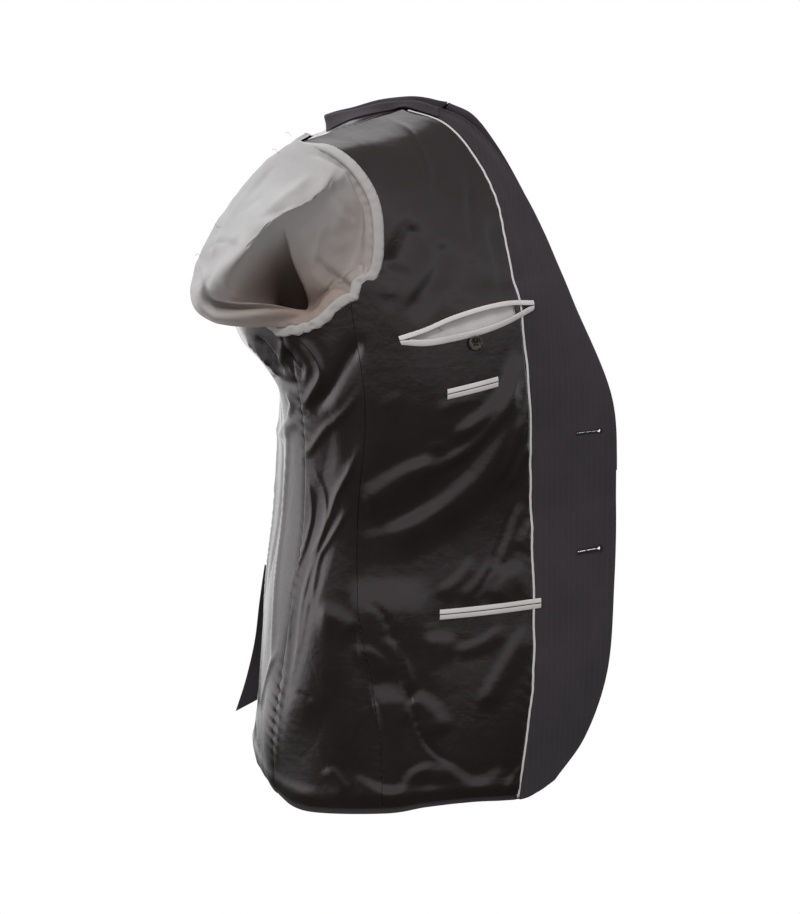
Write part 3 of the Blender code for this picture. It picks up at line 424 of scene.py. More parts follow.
def cloth_piece(node, cloth, grid, out, flat=None, gap=None, ring=False, name=None):
    """A sheet of cloth through a grid of points, columns by rows, given its wall.

    out holds the outward directions, and flat the positions on the cut cloth.  gap says
    which cells (by their lower corner) are cut away; a ring is sewn shut on itself.
    """
    ending, thick, look, slot_name = cloth
    flat = flat_positions(grid) if flat is None else flat
    columns, rows = grid.shape[:2]
    bm = bmesh.new()
    bmesh.ops.create_grid(bm, x_segments=columns - 1, y_segments=rows - 1, size=0.5)
    bm.verts.ensure_lookup_table()
    at = np.array([v.co[:2] for v in bm.verts]) + 0.5
    i, j = np.rint(at * (columns - 1, rows - 1)).astype(int).T
    if gap is not None:
        cut = [f for f in bm.faces
               if gap(min(i[v.index] for v in f.verts), min(j[v.index] for v in f.verts))]
        bmesh.ops.delete(bm, geom=cut, context="FACES_ONLY")
    layer = bm.loops.layers.uv.new("cloth")
    for face in bm.faces:
        for loop in face.loops:
            loop[layer].uv = flat[i[loop.vert.index], j[loop.vert.index]]
    for vert, point in zip(bm.verts, grid[i, j]):
        vert.co = point
    loose = [v for v in bm.verts if not v.link_faces]
    bm.normal_update()
    outward = out[i, j]
    if sum(f.normal.dot(Vector(outward[f.verts[0].index])) for f in bm.faces) < 0:
        bmesh.ops.reverse_faces(bm, faces=bm.faces)
    bmesh.ops.delete(bm, geom=loose, context="VERTS")
    if ring:
        bmesh.ops.remove_doubles(bm, verts=bm.verts, dist=0.00001)
    for edge in bm.edges:
        edge.smooth = not edge.is_boundary
    return finish_piece(name or node + "_" + ending, bm, look, [node], thick)


def feed(socket, value):
    """Sets an input, or links it to the output given as its value."""
    if isinstance(value, bpy.types.NodeSocket):
        socket.id_data.links.new(value, socket)
    else:
        socket.default_value = value


def set_up(node, *inputs, **settings):
    """Settings and inputs of a node by their names, then its first inputs in order."""
    for name, value in settings.items():
        socket = node.inputs.get(name.replace("_", " "))
        if socket is None:
            setattr(node, name, value)
        else:
            feed(socket, value)
    for socket, value in zip(node.inputs, inputs):
        feed(socket, value)


def add_node(tree, kind, *inputs, out=0, **settings):
    """A new node, set up; gives one of its outputs."""
    node = tree.nodes.new("ShaderNode" + kind)
    set_up(node, *inputs, **settings)
    return node.outputs[out]


def parts_of(tree, vector):
    """The x, y and z of a vector."""
    return add_node(tree, "SeparateXYZ", vector).node.outputs


def dyed(tree, source, dark, light, start=0.0, end=1.0):
    """Colour from dark to light, as the source goes from start to end."""
    node = add_node(tree, "ValToRGB", source).node
    for stop, colour, position in zip(node.color_ramp.elements, (dark, light), (start, end)):
        stop.position = position
        stop.color = (*colour, 1.0)
    return node.outputs["Color"]


def blend(tree, share, first, second, colour=True):
    """The first colour or value turned into the second by a share of 0 to 1."""
    node = tree.nodes.new("ShaderNodeMix")
    node.data_type = "RGBA" if colour else "FLOAT"
    at = 6 if colour else 2
    for k, value in ((0, share), (at, first), (at + 1, second)):
        feed(node.inputs[k], value)
    return node.outputs[2 if colour else 0]


def new_look(name, colour, roughness):
    """A material, with its nodes and its shader."""
    look = bpy.data.materials.new(name)
    look.use_nodes = True
    shader = look.node_tree.nodes["Principled BSDF"]
    set_up(shader, Base_Color=(*colour, 1.0), Roughness=roughness)
    return look, look.node_tree, shader


ONE_WAVE = 0.314           # length of one wave of the wave texture at scale 1


def cloth_look(name, dark, light, roughness, thread, weave_depth, crumple_depth, crumple_size, slub_depth):
    """Woven cloth: uneven dye, a fine diagonal weave, level slubs and soft small creases."""
    look, tree, shader = new_look(name, light, roughness)
    place = add_node(tree, "TexCoord", out="Object")
    patches = add_node(tree, "TexNoise", place, Scale=22.0, Detail=4.0, Roughness=0.6)
    dye = dyed(tree, patches, dark, light, 0.30, 0.72)
    cut = add_node(tree, "UVMap", uv_map="cloth")
    turned = add_node(tree, "Mapping", cut, Rotation=(0.0, 0.0, math.radians(63.0)))
    weave = add_node(tree, "TexWave", turned, out="Fac", Scale=ONE_WAVE / thread, Distortion=0.8,
                     Detail=2.0, Detail_Scale=2.0)
    fine = add_node(tree, "Bump", Strength=0.6, Distance=weave_depth, Height=weave)
    rumple = add_node(tree, "TexNoise", place, Scale=1.0 / crumple_size, Detail=3.0, Roughness=0.55,
                      Distortion=0.4)
    soft = add_node(tree, "Bump", Strength=1.0, Distance=crumple_depth, Height=rumple, Normal=fine)
    # Thick and thin weft threads make long level streaks in the gloss.
    level = add_node(tree, "Mapping", place, Scale=(1.0, 1.0, 9.0))
    slub = add_node(tree, "TexNoise", level, Scale=34.0, Detail=5.0, Roughness=0.62)
    streak = add_node(tree, "Bump", Strength=1.0, Distance=slub_depth, Height=slub, Normal=soft)
    set_up(shader, Base_Color=dye, Normal=streak)
    return look, tree, shader, dye


# A cloth: the ending of its pieces' names, its thickness, its look and its slot.
look, tree, shader, _ = cloth_look("lining_satin", (0.0116, 0.0088, 0.0079), (0.0154, 0.0117, 0.0114),
                                   0.18, 0.0006, 0.00003, 0.0006, 0.020, 0.00007)
set_up(shader, Specular_IOR_Level=1.0, Specular_Tint=(1.0, 0.94, 1.0, 1.0), Anisotropic=0.3)
LINING = ("satin", 0.0006, look, "lining_satin")

# Mouth of the breast pocket: x and z of its upper edge, then of its lower edge.
MOUTH = [(-1.5, -228.5, 1.5, -237.3), (25.5, -219.8, 27, -238.6), (51, -209.3, 54, -234.8),
         (81.8, -200.5, 82, -229), (110.7, -196.1, 109, -220.3), (136.8, -197, 137, -207.3)]
MOUTH_FROM, MOUTH_TO = 6.95, 8.86          # guides at its two ends


def find_on_front(x, z, v=5.6, gorge=False):
    """Guide and level of the left front at x and z."""
    x, z = np.atleast_1d(x).astype(float), np.atleast_1d(z).astype(float)
    u, v = np.full(len(x), 8.0), np.full(len(x), float(v))
    for _ in range(30):
        p = body(LEFT, u, v, gorge)
        across = (body(LEFT, u + 0.01, v, gorge) - p) / 0.01
        up = (body(LEFT, u, v + 0.01, gorge) - p) / 0.01
        ex, ez = x - p[:, 0], z - p[:, 2]
        det = across[:, 0] * up[:, 2] - up[:, 0] * across[:, 2]
        u = u + np.clip((ex * up[:, 2] - up[:, 0] * ez) / det, -0.4, 0.4)
        v = v + np.clip((across[:, 0] * ez - ex * across[:, 2]) / det, -0.4, 0.4)
    return u, v


mouth = through(np.array(MOUTH) * MM, np.linspace(0, 5, 61))
MOUTH_TOP = find_on_front(mouth[:, 0], mouth[:, 1] - 0.0030)
MOUTH_BOTTOM = find_on_front(mouth[:, 2], mouth[:, 3] + 0.0035)


def front_level(side, u, w):
    """Level of row w at guide u: rows of the left front pass round the pocket mouth."""
    if side == RIGHT:
        return w
    share = np.interp(u, [SIDE_SEAM, MOUTH_FROM - 0.02, PIPE, EDGE], [0, 1, 1, 0])
    low = 5.5 + (np.interp(u, *MOUTH_BOTTOM) - 5.5) * share
    high = 6.0 + (np.maximum(np.interp(u, *MOUTH_TOP), low + 0.04) - 6.0) * share
    v = np.where(w < 4.9, w, 4.9 + (w - 4.9) / 0.6 * (low - 4.9))
    v = np.where(w > 5.5, low + (w - 5.5) / 0.5 * (high - low), v)
    v = np.where(w > 6.0, high + (w - 6.0) * (7.0 - high), v)
    return np.where(w > 7.0, w, v)


def spread(*stops):
    """Values from stop to stop, as (value, steps, value, steps, value ...)."""
    values = [stops[0]]
    for steps, stop in zip(stops[1::2], stops[2::2]):
        values += list(np.linspace(values[-1], stop, steps + 1)[1:])
    return np.array(values)


ROWS = spread(0, 130, 4.9, 16, 5.5, 12, 6.0, 20, 7.0, 74, 12)


def lay_panel(side, us, ws, margins, out, gorge=False):
    """Points and normals of a body panel from hem to shoulder, moved by out(side, u, v).

    margins draw its two long edges back from their seams.
    """
    u, w = [a.ravel() for a in np.meshgrid(us, ws, indexing="ij")]
    v = front_level(side, u, w)
    points, normal, across, _ = draped(side, u, v, out(side, u, v), gorge)
    inset = np.where(u == us[0], margins[0], 0) - np.where(u == us[-1], margins[1], 0)
    points = points + unit(across) * inset[:, None]
    shape = (len(us), len(ws), 3)
    return points.reshape(shape), normal.reshape(shape)


def hem_pleat(side, u, v):
    """The lining is turned under at the hem with a little spare length."""
    up = np.maximum(v, 0) * 54         # millimetres above the hem
    return MM * (1.3 * np.exp(-((up - 15) / 6.5) ** 2) - 0.7 * np.exp(-(up / 6) ** 2))


# The lining starts a few millimetres above the wool's hem edge, and the columns of
# its front panel meet both ends of the pocket mouth.
lining_rows = np.concatenate([[0.10, 0.145], ROWS[5:]])
front_us = spread(SIDE_SEAM, 15, MOUTH_FROM, 34, MOUTH_TO, 4, PIPE)


def in_mouth(i, j):
    """Cells of the front lining that the pocket mouth takes away."""
    return MOUTH_FROM - 0.001 <= front_us[i] < MOUTH_TO - 0.001 and 5.499 <= lining_rows[j] < 5.999


for side, word in WORD.items():
    piece = cloth_piece("front_lining_" + word, LINING,
                        *lay_panel(side, front_us, lining_rows, (0.00030, 0.0015), hem_pleat),
                        gap=in_mouth if side == LEFT else None)

# ------------------------------------------------------- side and back linings
# One satin panel under each arm, and two at the back with a centre seam.  The seams
# are a little short of thread, so the satin puckers along them.
for panel, us, top, margins, flat, area in (
        ("side", spread(BACK_SEAM, 44, SIDE_SEAM), ARMHOLE_FOOT, (0.00014, 0.00030), (0.13, 0.54), 0.045),
        ("back", spread(CENTRE_BACK, 58, BACK_SEAM), SHOULDER, (0.00014, 0.00014), (0.24, 0.80), 0.129)):
    for side, word in WORD.items():
        piece = cloth_piece(panel + "_lining_" + word, LINING,
                            *lay_panel(side, us, lining_rows[lining_rows <= top], margins, hem_pleat))

# ---------------------------------------------------------------------- piping
# A bias strip of light grey satin, folded and caught between lining and facing.  It
# stands up as a thin cord and wanders a little where the seam is eased.
def pale_satin(name, dark, light, yellowed_and_shade_tone, shade_at_front):
    """Grey satin yellowed in random patches, with a warm painted shade that grows towards the fronts and the
    bottom.
    """
    look, tree, shader, dye = cloth_look(name, dark, light, 0.38, 0.0005, 0.00003, 0.0005, 0.014, 0.00012)
    place = add_node(tree, "TexCoord", out="Object")
    patches = add_node(tree, "TexNoise", place, Scale=9.0, Detail=2.0)
    x, _, z = parts_of(tree, place)
    # Painted shade: by x and z the colour turns warmer low down and towards the fronts, where the satin
    # hangs in shadow; the noise patches are its own uneven tone.
    low = add_node(tree, "Math", x, z, operation="SUBTRACT")
    painted_warm_shade = add_node(tree, "MapRange", low, -0.03, 0.06, -0.40, shade_at_front)
    both = add_node(tree, "Math", patches, painted_warm_shade, operation="ADD", use_clamp=True)
    tone = blend(tree, both, dye, (*yellowed_and_shade_tone, 1.0))
    set_up(shader, Base_Color=tone, Anisotropic=0.3, Specular_IOR_Level=0.35)
    return look, tree, shader, tone


PIPING_W = 0.0026
PIPING_FOOT = 0.0060       # the piping ends this far above the hem
TRIM_T = 0.0005
TRIM = ("satin", TRIM_T, pale_satin("trim_satin", (0.445, 0.432, 0.432), (0.520, 0.508, 0.510),
                                    (0.470, 0.436, 0.426), 0.0)[0], "grey_satin")

piping_rows = spread(0, 250, 11.9)
for side, word in WORD.items():
    k, w = [a.ravel() for a in np.meshgrid(np.linspace(-1, 1, 7), piping_rows, indexing="ij")]
    v = front_level(side, np.full_like(w, PIPE), w)
    points, normal, across, z = draped(side, PIPE, v, 0.0011 * np.sqrt(1 - 0.9 * k * k) + 0.0001)
    wander = 0.35 * np.sin(z / MM / 9.0 + 1.2 * np.sin(z / MM / 31.0)) * MM
    points = points + unit(across) * (k * PIPING_W / 2 + wander)[:, None]
    points[:, 2] += np.where(w == 0, PIPING_FOOT, 0)
    shape = (-1, len(piping_rows), 3)
    cloth_piece("piping_" + word, TRIM, points.reshape(shape), normal.reshape(shape))

# --------------------------------------------------------- facing and its lapel
# The facing is one piece of the suit's wool: a fine dark twill with a thin stripe
# only a shade lighter.  It is pressed flat to the front edge, and above the top
# button it rolls in as the lapel and lies inside the front.
STRIPE_PITCH = 0.0065
STRIPE_COLOUR = (0.041, 0.035, 0.040, 1.0)
suit_wool, tree, shader, dye = cloth_look("suit_wool", (0.0282, 0.0234, 0.0270), (0.0348, 0.0288, 0.0334),
                                          0.86, 0.0007, 0.00006, 0.0004, 0.045, 0.00005)
cut = add_node(tree, "UVMap", uv_map="cloth")
stripe = add_node(tree, "TexWave", cut, out="Fac", Scale=ONE_WAVE / STRIPE_PITCH, Distortion=0.0)
thin = dyed(tree, stripe, (0.0, 0.0, 0.0), (0.42, 0.42, 0.42), 0.90, 0.99)
set_up(shader, Base_Color=blend(tree, thin, dye, STRIPE_COLOUR), Sheen_Weight=0.09, Sheen_Roughness=0.45,
       Sheen_Tint=(0.80, 0.76, 0.86, 1.0), Specular_IOR_Level=0.30)
WOOL = ("wool", 0.0012, suit_wool, "wool")

SEAM_GAP, LAYER_GAP, LAPEL_FOLD = 0.0004, 0.0008, 0.0050
LINING_ROOM, WOOL_ROOM = 0.0010, 0.0013    # that one layer takes
# By level: the width of the lapel, and how many levels its rows slant down across it.
LAPEL_WIDTH = ([4.9, 5.5, 6.0, 7, 8, 9, 10, 10.6, 11.2, 12], [2.5, 13, 24, 44, 60, 73, 82, 80, 66, 50])
LAPEL_SLANT = ([9, 10, 11, 12], [0.0, 0.15, 0.6, 1.2])
BREAK_LEVEL = 4.35         # the lapel starts to roll here
facing_us = spread(PIPE, 24, EDGE)
facing_rows = spread(0, 80, 4.3, 14, 4.9, 14, 5.5, 12, 6.0, 20, 7.0, 90, 12)
fold_angles = np.radians(spread(0, 9, 180)[1:])
lapel_shares = np.linspace(0, 1, 27)[1:]


def walk_in(side, levels, distance):
    """Guides that lie the given distances back from the front edge."""
    us = np.arange(EDGE, 6.2, -0.03)
    out = np.zeros(len(levels))
    for k, level in enumerate(levels):
        line = body(side, us, np.full(len(us), level), True)
        length = np.concatenate([[0], np.cumsum(np.linalg.norm(np.diff(line, axis=0), axis=1))])
        out[k] = np.interp(distance[k], length, us)
    return out


def lay_facing(side):
    """Points, normals and flat positions: over the front, round its edge and in as the lapel."""
    columns, outs = [], []
    for u in facing_us:
        us = np.full(len(facing_rows), u)
        v = front_level(side, us, facing_rows)
        z = skin(side, us, v, True)[0][:, 2]
        swell = 0.5 * np.sin(z / MM / 47.0 + 0.8 * u) * MM * np.clip((u - 9.2) / 0.5, 0, 1)
        points, normal, across, _ = draped(side, us, v, swell, True)
        columns.append(points + unit(across) * (PIPING_W / 2 + SEAM_GAP if u == PIPE else 0.0))
        outs.append(normal)
    edge, normal = columns[-1], outs[-1]
    v = front_level(side, np.full(len(facing_rows), float(EDGE)), facing_rows)
    ahead = unit(edge - body(side, np.full(len(v), EDGE - 0.05), v, True))
    depth = LAYER_GAP + 2 * WOOL_ROOM + LAPEL_FOLD
    depth = np.maximum(depth * smooth_step((v - 4.1) / 1.2), 2 * WOOL_ROOM)
    radius = depth[:, None] / 2
    for angle in fold_angles:
        out = normal * math.cos(angle) + ahead * math.sin(angle)
        columns.append(edge - normal * radius + out * radius)
        outs.append(out)
    width = np.interp(v, *LAPEL_WIDTH) * MM
    slant = np.interp(v, *LAPEL_SLANT)
    for share in lapel_shares:
        level = v - slant * share
        points, out = skin(side, walk_in(side, level, width * share), level, True)[:2]
        swell = 0.5 * np.sin(edge[:, 2] / MM / 47.0 + 0.8 * EDGE) * MM * (1 - share)
        columns.append(points + out * (swell - depth)[:, None])
        outs.append(-out)
    grid = np.array(columns)
    flat = flat_positions(grid)
    flat[:, :, 0] += grid[0, :, 0]
    return grid, np.array(outs), flat


def settle(piece, cutters):
    """Cuts a piece and makes its modifiers part of its mesh."""
    for cutter in cutters:
        cut = piece.modifiers.new("cut", "BOOLEAN")
        cut.solver = "EXACT"
        cut.object = cutter
    shown = piece.evaluated_get(bpy.context.evaluated_depsgraph_get())
    settled = bpy.data.meshes.new_from_object(shown)
    piece.modifiers.clear()
    piece.data = settled
    for cutter in cutters:
        bpy.data.objects.remove(cutter, do_unlink=True)


# Keyhole buttonholes: x and z of the slit's inner end and of its eyelet.
BUTTONHOLES = [(183.5, -336.5, 208.3, -335.2), (186.0, -461.4, 209.2, -459.1)]
# Half the width of the slit, the radius of the eyelet, and the depth of the cut.
SLIT, EYELET, CUT_DEPTH = 0.0005, 0.0019, 0.030


def buttonhole_ends(x0, z0, x1, z1):
    """Both ends of a buttonhole on the left facing, with their normals."""
    u, v = find_on_front(np.array([x0, x1]) * MM, np.array([z0, z1]) * MM, 4.0, True)
    return skin(LEFT, u, v, True)[:2]


def keyhole_cutters():
    """Blocks and pins that cut the slits and eyelets."""
    cutters = []
    for hole in BUTTONHOLES:
        ends, normals = buttonhole_ends(*hole)
        start, eye = Vector(ends[0]), Vector(ends[1])
        along = (eye - start).normalized()
        up = Vector(normals[1]).normalized().cross(along).normalized()
        turn = Matrix((along, up, along.cross(up))).transposed().to_4x4()
        size = Matrix.Diagonal(((eye - start).length, 2 * SLIT, CUT_DEPTH, 1.0))
        slit, eyelet = bmesh.new(), bmesh.new()
        bmesh.ops.create_cube(slit, size=1.0, matrix=Matrix.Translation((start + eye) / 2) @ turn @ size)
        bmesh.ops.create_cone(eyelet, segments=20, radius1=EYELET, radius2=EYELET, depth=CUT_DEPTH,
                              cap_ends=True, matrix=Matrix.Translation(eye) @ turn)
        cutters += [to_object("slit", slit), to_object("eyelet", eyelet)]
    return cutters


def no_lapel(i, j):
    """Cells past the front edge, below where the lapel starts to roll."""
    return i >= len(facing_us) - 1 and facing_rows[j] < BREAK_LEVEL - 0.01


for side, word in WORD.items():
    piece = cloth_piece("facing_" + word, WOOL, *lay_facing(side), gap=no_lapel)
    if side == LEFT:
        settle(piece, keyhole_cutters())

# ------------------------------------------------------------------ wool shell
# The outside of the suit is on the inside here: two back, two side and two front
# panels of the same striped wool, sewn right round the hem, where they show as a
# narrow dark edge below the lining.
shell_rows = spread(0, 92, 5.0, 24, 6.0, 14, 7.0, 60, 12)
shell_front_us = spread(SIDE_SEAM, 34, PIPE, 22, EDGE)
SHELL_OUT = -(LINING_ROOM + LAYER_GAP)
BAG_ROOM = 0.0062


def shell_offset(side, u, v):
    """The shell leaves room for the pocket bag and is pressed to the facing's edge."""
    base = np.where(u > 8.6, -(WOOL_ROOM + LINING_ROOM), SHELL_OUT)
    if side == LEFT:
        a = np.clip(1.8 * (1 - ((u - 7.9) / 1.35) ** 2), 0, 1)
        b = np.clip(1.8 * (1 - ((v - 5.8) / 1.6) ** 2), 0, 1)
        base = base - BAG_ROOM * smooth_step(a) * smooth_step(b)
    edge = smooth_step((u - 10.6) / 0.38)
    return base * (1 - edge) - 0.00135 * edge


def top_corner(i, j):
    """Cells cut away where the front's top corner meets the collar."""
    return shell_front_us[i] >= 8.4 and shell_rows[j] >= 11.15


for side, word in WORD.items():
    for panel, us, top, flat, area in (
            ("back", spread(CENTRE_BACK, 40, BACK_SEAM), SHOULDER, (0.24, 0.81), 0.130),
            ("side", spread(BACK_SEAM, 24, SIDE_SEAM), ARMHOLE_FOOT, (0.13, 0.545), 0.045)):
        grid, out = lay_panel(side, us, shell_rows[shell_rows <= top], (-0.0002, -0.0002), shell_offset)
        piece = cloth_piece(panel + "_shell_" + word, WOOL, grid, out)
    grid, out = lay_panel(side, shell_front_us, shell_rows, (-0.0002, 0.0006), shell_offset, gorge=True)
    piece = cloth_piece("front_shell_" + word, WOOL, grid, out, gap=top_corner)
    if side == LEFT:
        settle(piece, keyhole_cutters())

# -------------------------------------------------------------- sleeve linings
# Light grey satin tubes.  The head of each puffs out through its armhole, turns
# over a soft lip and runs back inside, where the sleeve hangs within the body.
# Its colour is painted darker inside the throat, a painted shade for the deep shadow there, and warmer where
# it hangs in shade.
look, tree, shader, tone = pale_satin("grey_satin", (0.310, 0.304, 0.309), (0.362, 0.358, 0.364),
                                      (0.298, 0.260, 0.246), 0.45)
# Painted shade: down the sleeve into the throat the colour turns a dark brown, where the cloth lies in deep
# shadow.
_, down_sleeve, _ = parts_of(tree, add_node(tree, "UVMap", uv_map="cloth"))
throat = add_node(tree, "MapRange", down_sleeve, -0.600, -0.500, 0.0, 0.8, interpolation_type="SMOOTHSTEP")
set_up(shader, Base_Color=blend(tree, throat, tone, (0.215, 0.155, 0.125, 1.0)))
SLEEVE_SATIN = ("satin", 0.0006, look, "grey_satin")

# What follows goes by clock hour, 12 at the shoulder point and 3 at the front.  First
# the height of the first turn, then how far in and how high the crest is set from the
# edge where the head lies tight.
RISE = [0.5, -2.5, -4.0, -4.5, -4.5, -3.0, 0.0, 2.5, 5.0, 5.0, 5.0, 3.0]
EDGE_CREST = [(8, 2), (7, -1), (7, -6), (7, -10), (8, -12), (8, -10), (8, -5), (6, 4), (6, 8), (6, 8),
              (6, 8), (8, 6)]
TIGHT = ([0.0, 6.2, 7.0, 11.0, 12.0], [1.0, 1.0, 0.0, 0.0, 1.0])
CREST = [(-110, -197, -38), (-62, -190, -51), (-36, -184, -82), (-31, -180, -127), (-38, -180, -164),
         (-56, -182, -185), (-88, -184, -207), (-140, -196, -216), (-199, -164, -214), (-214.5, -160, -184),
         (-196, -182, -131), (-158, -188, -80)]
RIDGE = [(-84, -213, -82), (-66, -199, -66), (-50, -186, -92), (-46, -170, -131), (-54, -167, -162),
         (-68, -170, -182), (-92, -175, -203), (-134, -209, -195), (-184, -214, -190), (-184, -232, -162),
         (-150, -237, -128), (-117, -230, -98)]
LIP = [(-119, -221, -110), (-114, -205, -121), (-109, -190, -142), (-103, -178, -160), (-94, -170, -180),
       (-86, -162, -198), (-98, -164, -210), (-118, -176, -206), (-148, -189, -197), (-170, -218, -178),
       (-158, -227, -148), (-140, -226, -122)]
THROAT = [(-106, -122, -178), (-95, -124, -180), (-87, -130, -187), (-84, -138, -196), (-87, -146, -205),
          (-95, -152, -212), (-106, -154, -214), (-117, -152, -212), (-125, -146, -205), (-128, -138, -196),
          (-125, -130, -187), (-117, -124, -180)]
# The rest hangs as a flattened tube: centre x, y, z, half widths along x and y.
TUBE = [(-80, -120, -260, 46, 30), (-40, -121, -335, 56, 31), (-30, -121, -420, 63, 30),
        (-22, -123, -520, 60, 29), (-16, -125, -600, 57, 28), (-12, -127, -662, 56, 28)]
SLEEVE_TURN = math.radians(-8.0)
# Folds and breaks of the head, seen from the side: the same columns as on the body,
# with x and z along each.
HEAD_RIDGES = [
    (11, 10, 1.8, (-47, -55), (-71, -74), (-97, -93)),
    (10, 10, 4.2, (-84, -62), (-128, -97), (-188, -146)),
    (8, 9, -4.0, (-104, -92), (-146, -111), (-178, -143)),
    (6, 6, -3.2, (-70, -66), (-62, -89), (-43, -117)),
    (6, 7, -4.8, (-90, -146), (-67, -169), (-42, -186)),
    (7, 7, 1.8, (-94, -159), (-76, -180), (-55, -190)),
    (6, 6, -1.6, (-136, -84), (-150, -94), (-163, -105)),
    (7, 8, 3.6, (-140, -66), (-174, -114), (-190, -153)),
    (6, 7, -2.8, (-123, -52), (-159, -93), (-186, -135)),
    (5, 6, -2.2, (-196, -140), (-176, -132), (-160, -136)),
    (6, 8, 1.8, (-76, -112), (-86, -140), (-92, -166)),
    (10, 9, 1.6, (-205, -150), (-196, -172), (-178, -186)),
    (7, 7, -1.5, (-100, -44), (-72, -48), (-52, -62)),
    (14, 14, 1.2, (-58, -100), (-66, -125), (-60, -148)),
]
HEAD_BREAKS = [
    (6, 7, 3.0, (-117, -110), (-142, -122), (-158, -146), (-171, -169), (-173, -184)),
    (13, 8, 6.0, (-74, -200), (-90, -184), (-99, -157), (-105, -134), (-111, -114)),
    (10, 9, 1.6, (-49, -68), (-70, -81), (-90, -96)),
    (7, 7, 3.4, (-200, -203), (-167, -207), (-132, -215)),
]


def round_loop(points, t):
    """Smooth closed curve through points, t counted in whole points."""
    points = np.asarray(points, float)
    i = np.floor(t).astype(int)
    share = ease(t - i)
    return sum(share[:, k, None] * points[(i + k - 1) % len(points)] for k in range(4))


def armhole(side, hours):
    """Points, normals and directions away from the hole, round the edge of an armhole."""
    def edge(h):
        """Guide and level of the hole's edge at clock hour h."""
        h = np.mod(h, 12.0)
        u = np.where(h <= 5, SIDE_SEAM, np.where(h <= 7, SIDE_SEAM - (h - 5), BACK_SEAM))
        v = np.where(h <= 5, SHOULDER - 1.2 * h, ARMHOLE_FOOT + 1.2 * np.maximum(h - 7, 0))
        return u.astype(float), v.astype(float)
    points, normal, _, _ = draped(side, *edge(hours))
    ahead = skin(side, *edge(hours + 0.22))[0] - skin(side, *edge(hours - 0.22))[0]
    away = unit(np.cross(unit(ahead), normal))
    middle = np.array([-0.095, side * 0.18, -0.13])
    away = away * np.where((away * (points - middle)).sum(axis=1) < 0, -1, 1)[:, None]
    return points, normal, away


def side_loop(side, rows, drop):
    """A loop of the table on the given half; the right head follows its lower shoulder."""
    loop = np.array(rows, float)[:, :3] * (1, -side, 1)
    if side == RIGHT:
        loop[:, 2] -= drop * 4.5 * (1 + np.cos(np.radians(30.0 * np.arange(12))))
    return loop * MM


def sleeve_stations(side, hours):
    """Loops of a sleeve one by one, from its seam over the head and down to the wrist."""
    edge, normal, away = armhole(side, hours)
    start = edge - away * 0.0006 + normal * 0.0006
    turn = edge - away * 0.0017 + normal * (round_loop([(r,) for r in RISE], hours) * MM)
    loops = [round_loop(side_loop(side, rows, 1), hours) for rows in (CREST, RIDGE, LIP, THROAT)]
    inset = round_loop(EDGE_CREST, hours) * MM
    tight = np.interp(np.mod(hours, 12.0), *TIGHT)[:, None]
    near_edge = edge - away * inset[:, :1] + normal * inset[:, 1:]
    loops[0] = loops[0] + (near_edge - loops[0]) * tight
    for cx, cy, cz, wide, deep in TUBE:
        a = np.radians(90.0 - 30.0 * np.arange(12))
        x, y = wide * np.cos(a), deep * np.sin(a)
        cos, sin = math.cos(SLEEVE_TURN), math.sin(SLEEVE_TURN)
        ring = np.stack([cx + x * cos - y * sin, cy + x * sin + y * cos, np.full(12, cz)], axis=1)
        loops.append(round_loop(side_loop(side, ring, 0), hours))
    return np.array([start, turn] + loops)


def closed_normals(grid, side):
    """Outward normals of a grid of points whose first and last columns meet."""
    ring = grid[:-1]
    across = np.roll(ring, -1, axis=0) - np.roll(ring, 1, axis=0)
    up = np.gradient(ring, axis=1)
    normal = unit(np.cross(across, up)) * side
    return np.concatenate([normal, normal[:1]])


def sleeve_grid(side, hours, stations):
    """Points and normals of a sleeve with its folds, at clock hours and stations."""
    grid = through(sleeve_stations(side, hours), stations).transpose(1, 0, 2)
    normal = closed_normals(grid, side)
    head = smooth_step((stations - 0.6) / 0.8) * smooth_step((4.2 - stations) / 0.9)
    x, z = grid[:, :, 0].ravel(), grid[:, :, 2].ravel()
    scale = np.full(len(x), MM)
    push = fold_heights(HEAD_RIDGES, x / MM, z, scale, False)
    push = push + fold_heights(HEAD_BREAKS, x / MM, z, scale, True)
    swell = 0.7 * MM * np.sin(x * 95 + 1.4 * np.sin(z * 120) + side) * np.sin(z * 70 + x * 40)
    push = (push + swell).reshape(grid.shape[:2]) * head
    # Gathers where the head is sewn in, deepest under the arm.
    clock = np.mod(hours, 12.0)
    turns = hours / 12 * 2 * math.pi
    under = 0.35 + 0.65 * np.exp(-((clock - 6.6) / 1.6) ** 2)
    beat = np.sin(turns * 41 + 1.7 * np.sin(hours * 2.3)) * under
    gather = np.exp(-((stations - 1.0) / 0.55) ** 2)
    push = push + 1.3 * MM * beat[:, None] * gather
    # Loose ripples of the hanging tube.
    tube = smooth_step((stations - 4.5) / 1.0)
    ripple = 1.2 * np.sin(turns[:, None] * 3 + stations * 1.3)
    ripple = ripple + 0.8 * np.sin(stations * 5.1 + 2.0 * np.sin(turns[:, None]))
    push = push + ripple * MM * tube
    push[-1] = push[0]
    grid = grid + normal * push[:, :, None]
    # Low at the back the cloth is drawn in below the lip and rolls out again under it.
    tuck = 16.0 * np.exp(-((stations - 2.78) / 0.12) ** 2) - 13.0 * np.exp(-((stations - 2.42) / 0.20) ** 2)
    low = np.exp(-((clock - 7.9) / 0.85) ** 2)
    grid[:, :, 1] -= side * MM * low[:, None] * tuck
    return grid, normal


head_stations = spread(0, 4, 1, 14, 2, 24, 3, 24, 4, 22, 5, 12, 6, 40, 11)
for side, word in WORD.items():
    grid, out = sleeve_grid(side, np.linspace(0, 12, 221 if side == LEFT else 141), head_stations)
    piece = cloth_piece("sleeve_lining_" + word, SLEEVE_SATIN, grid, out, ring=True)

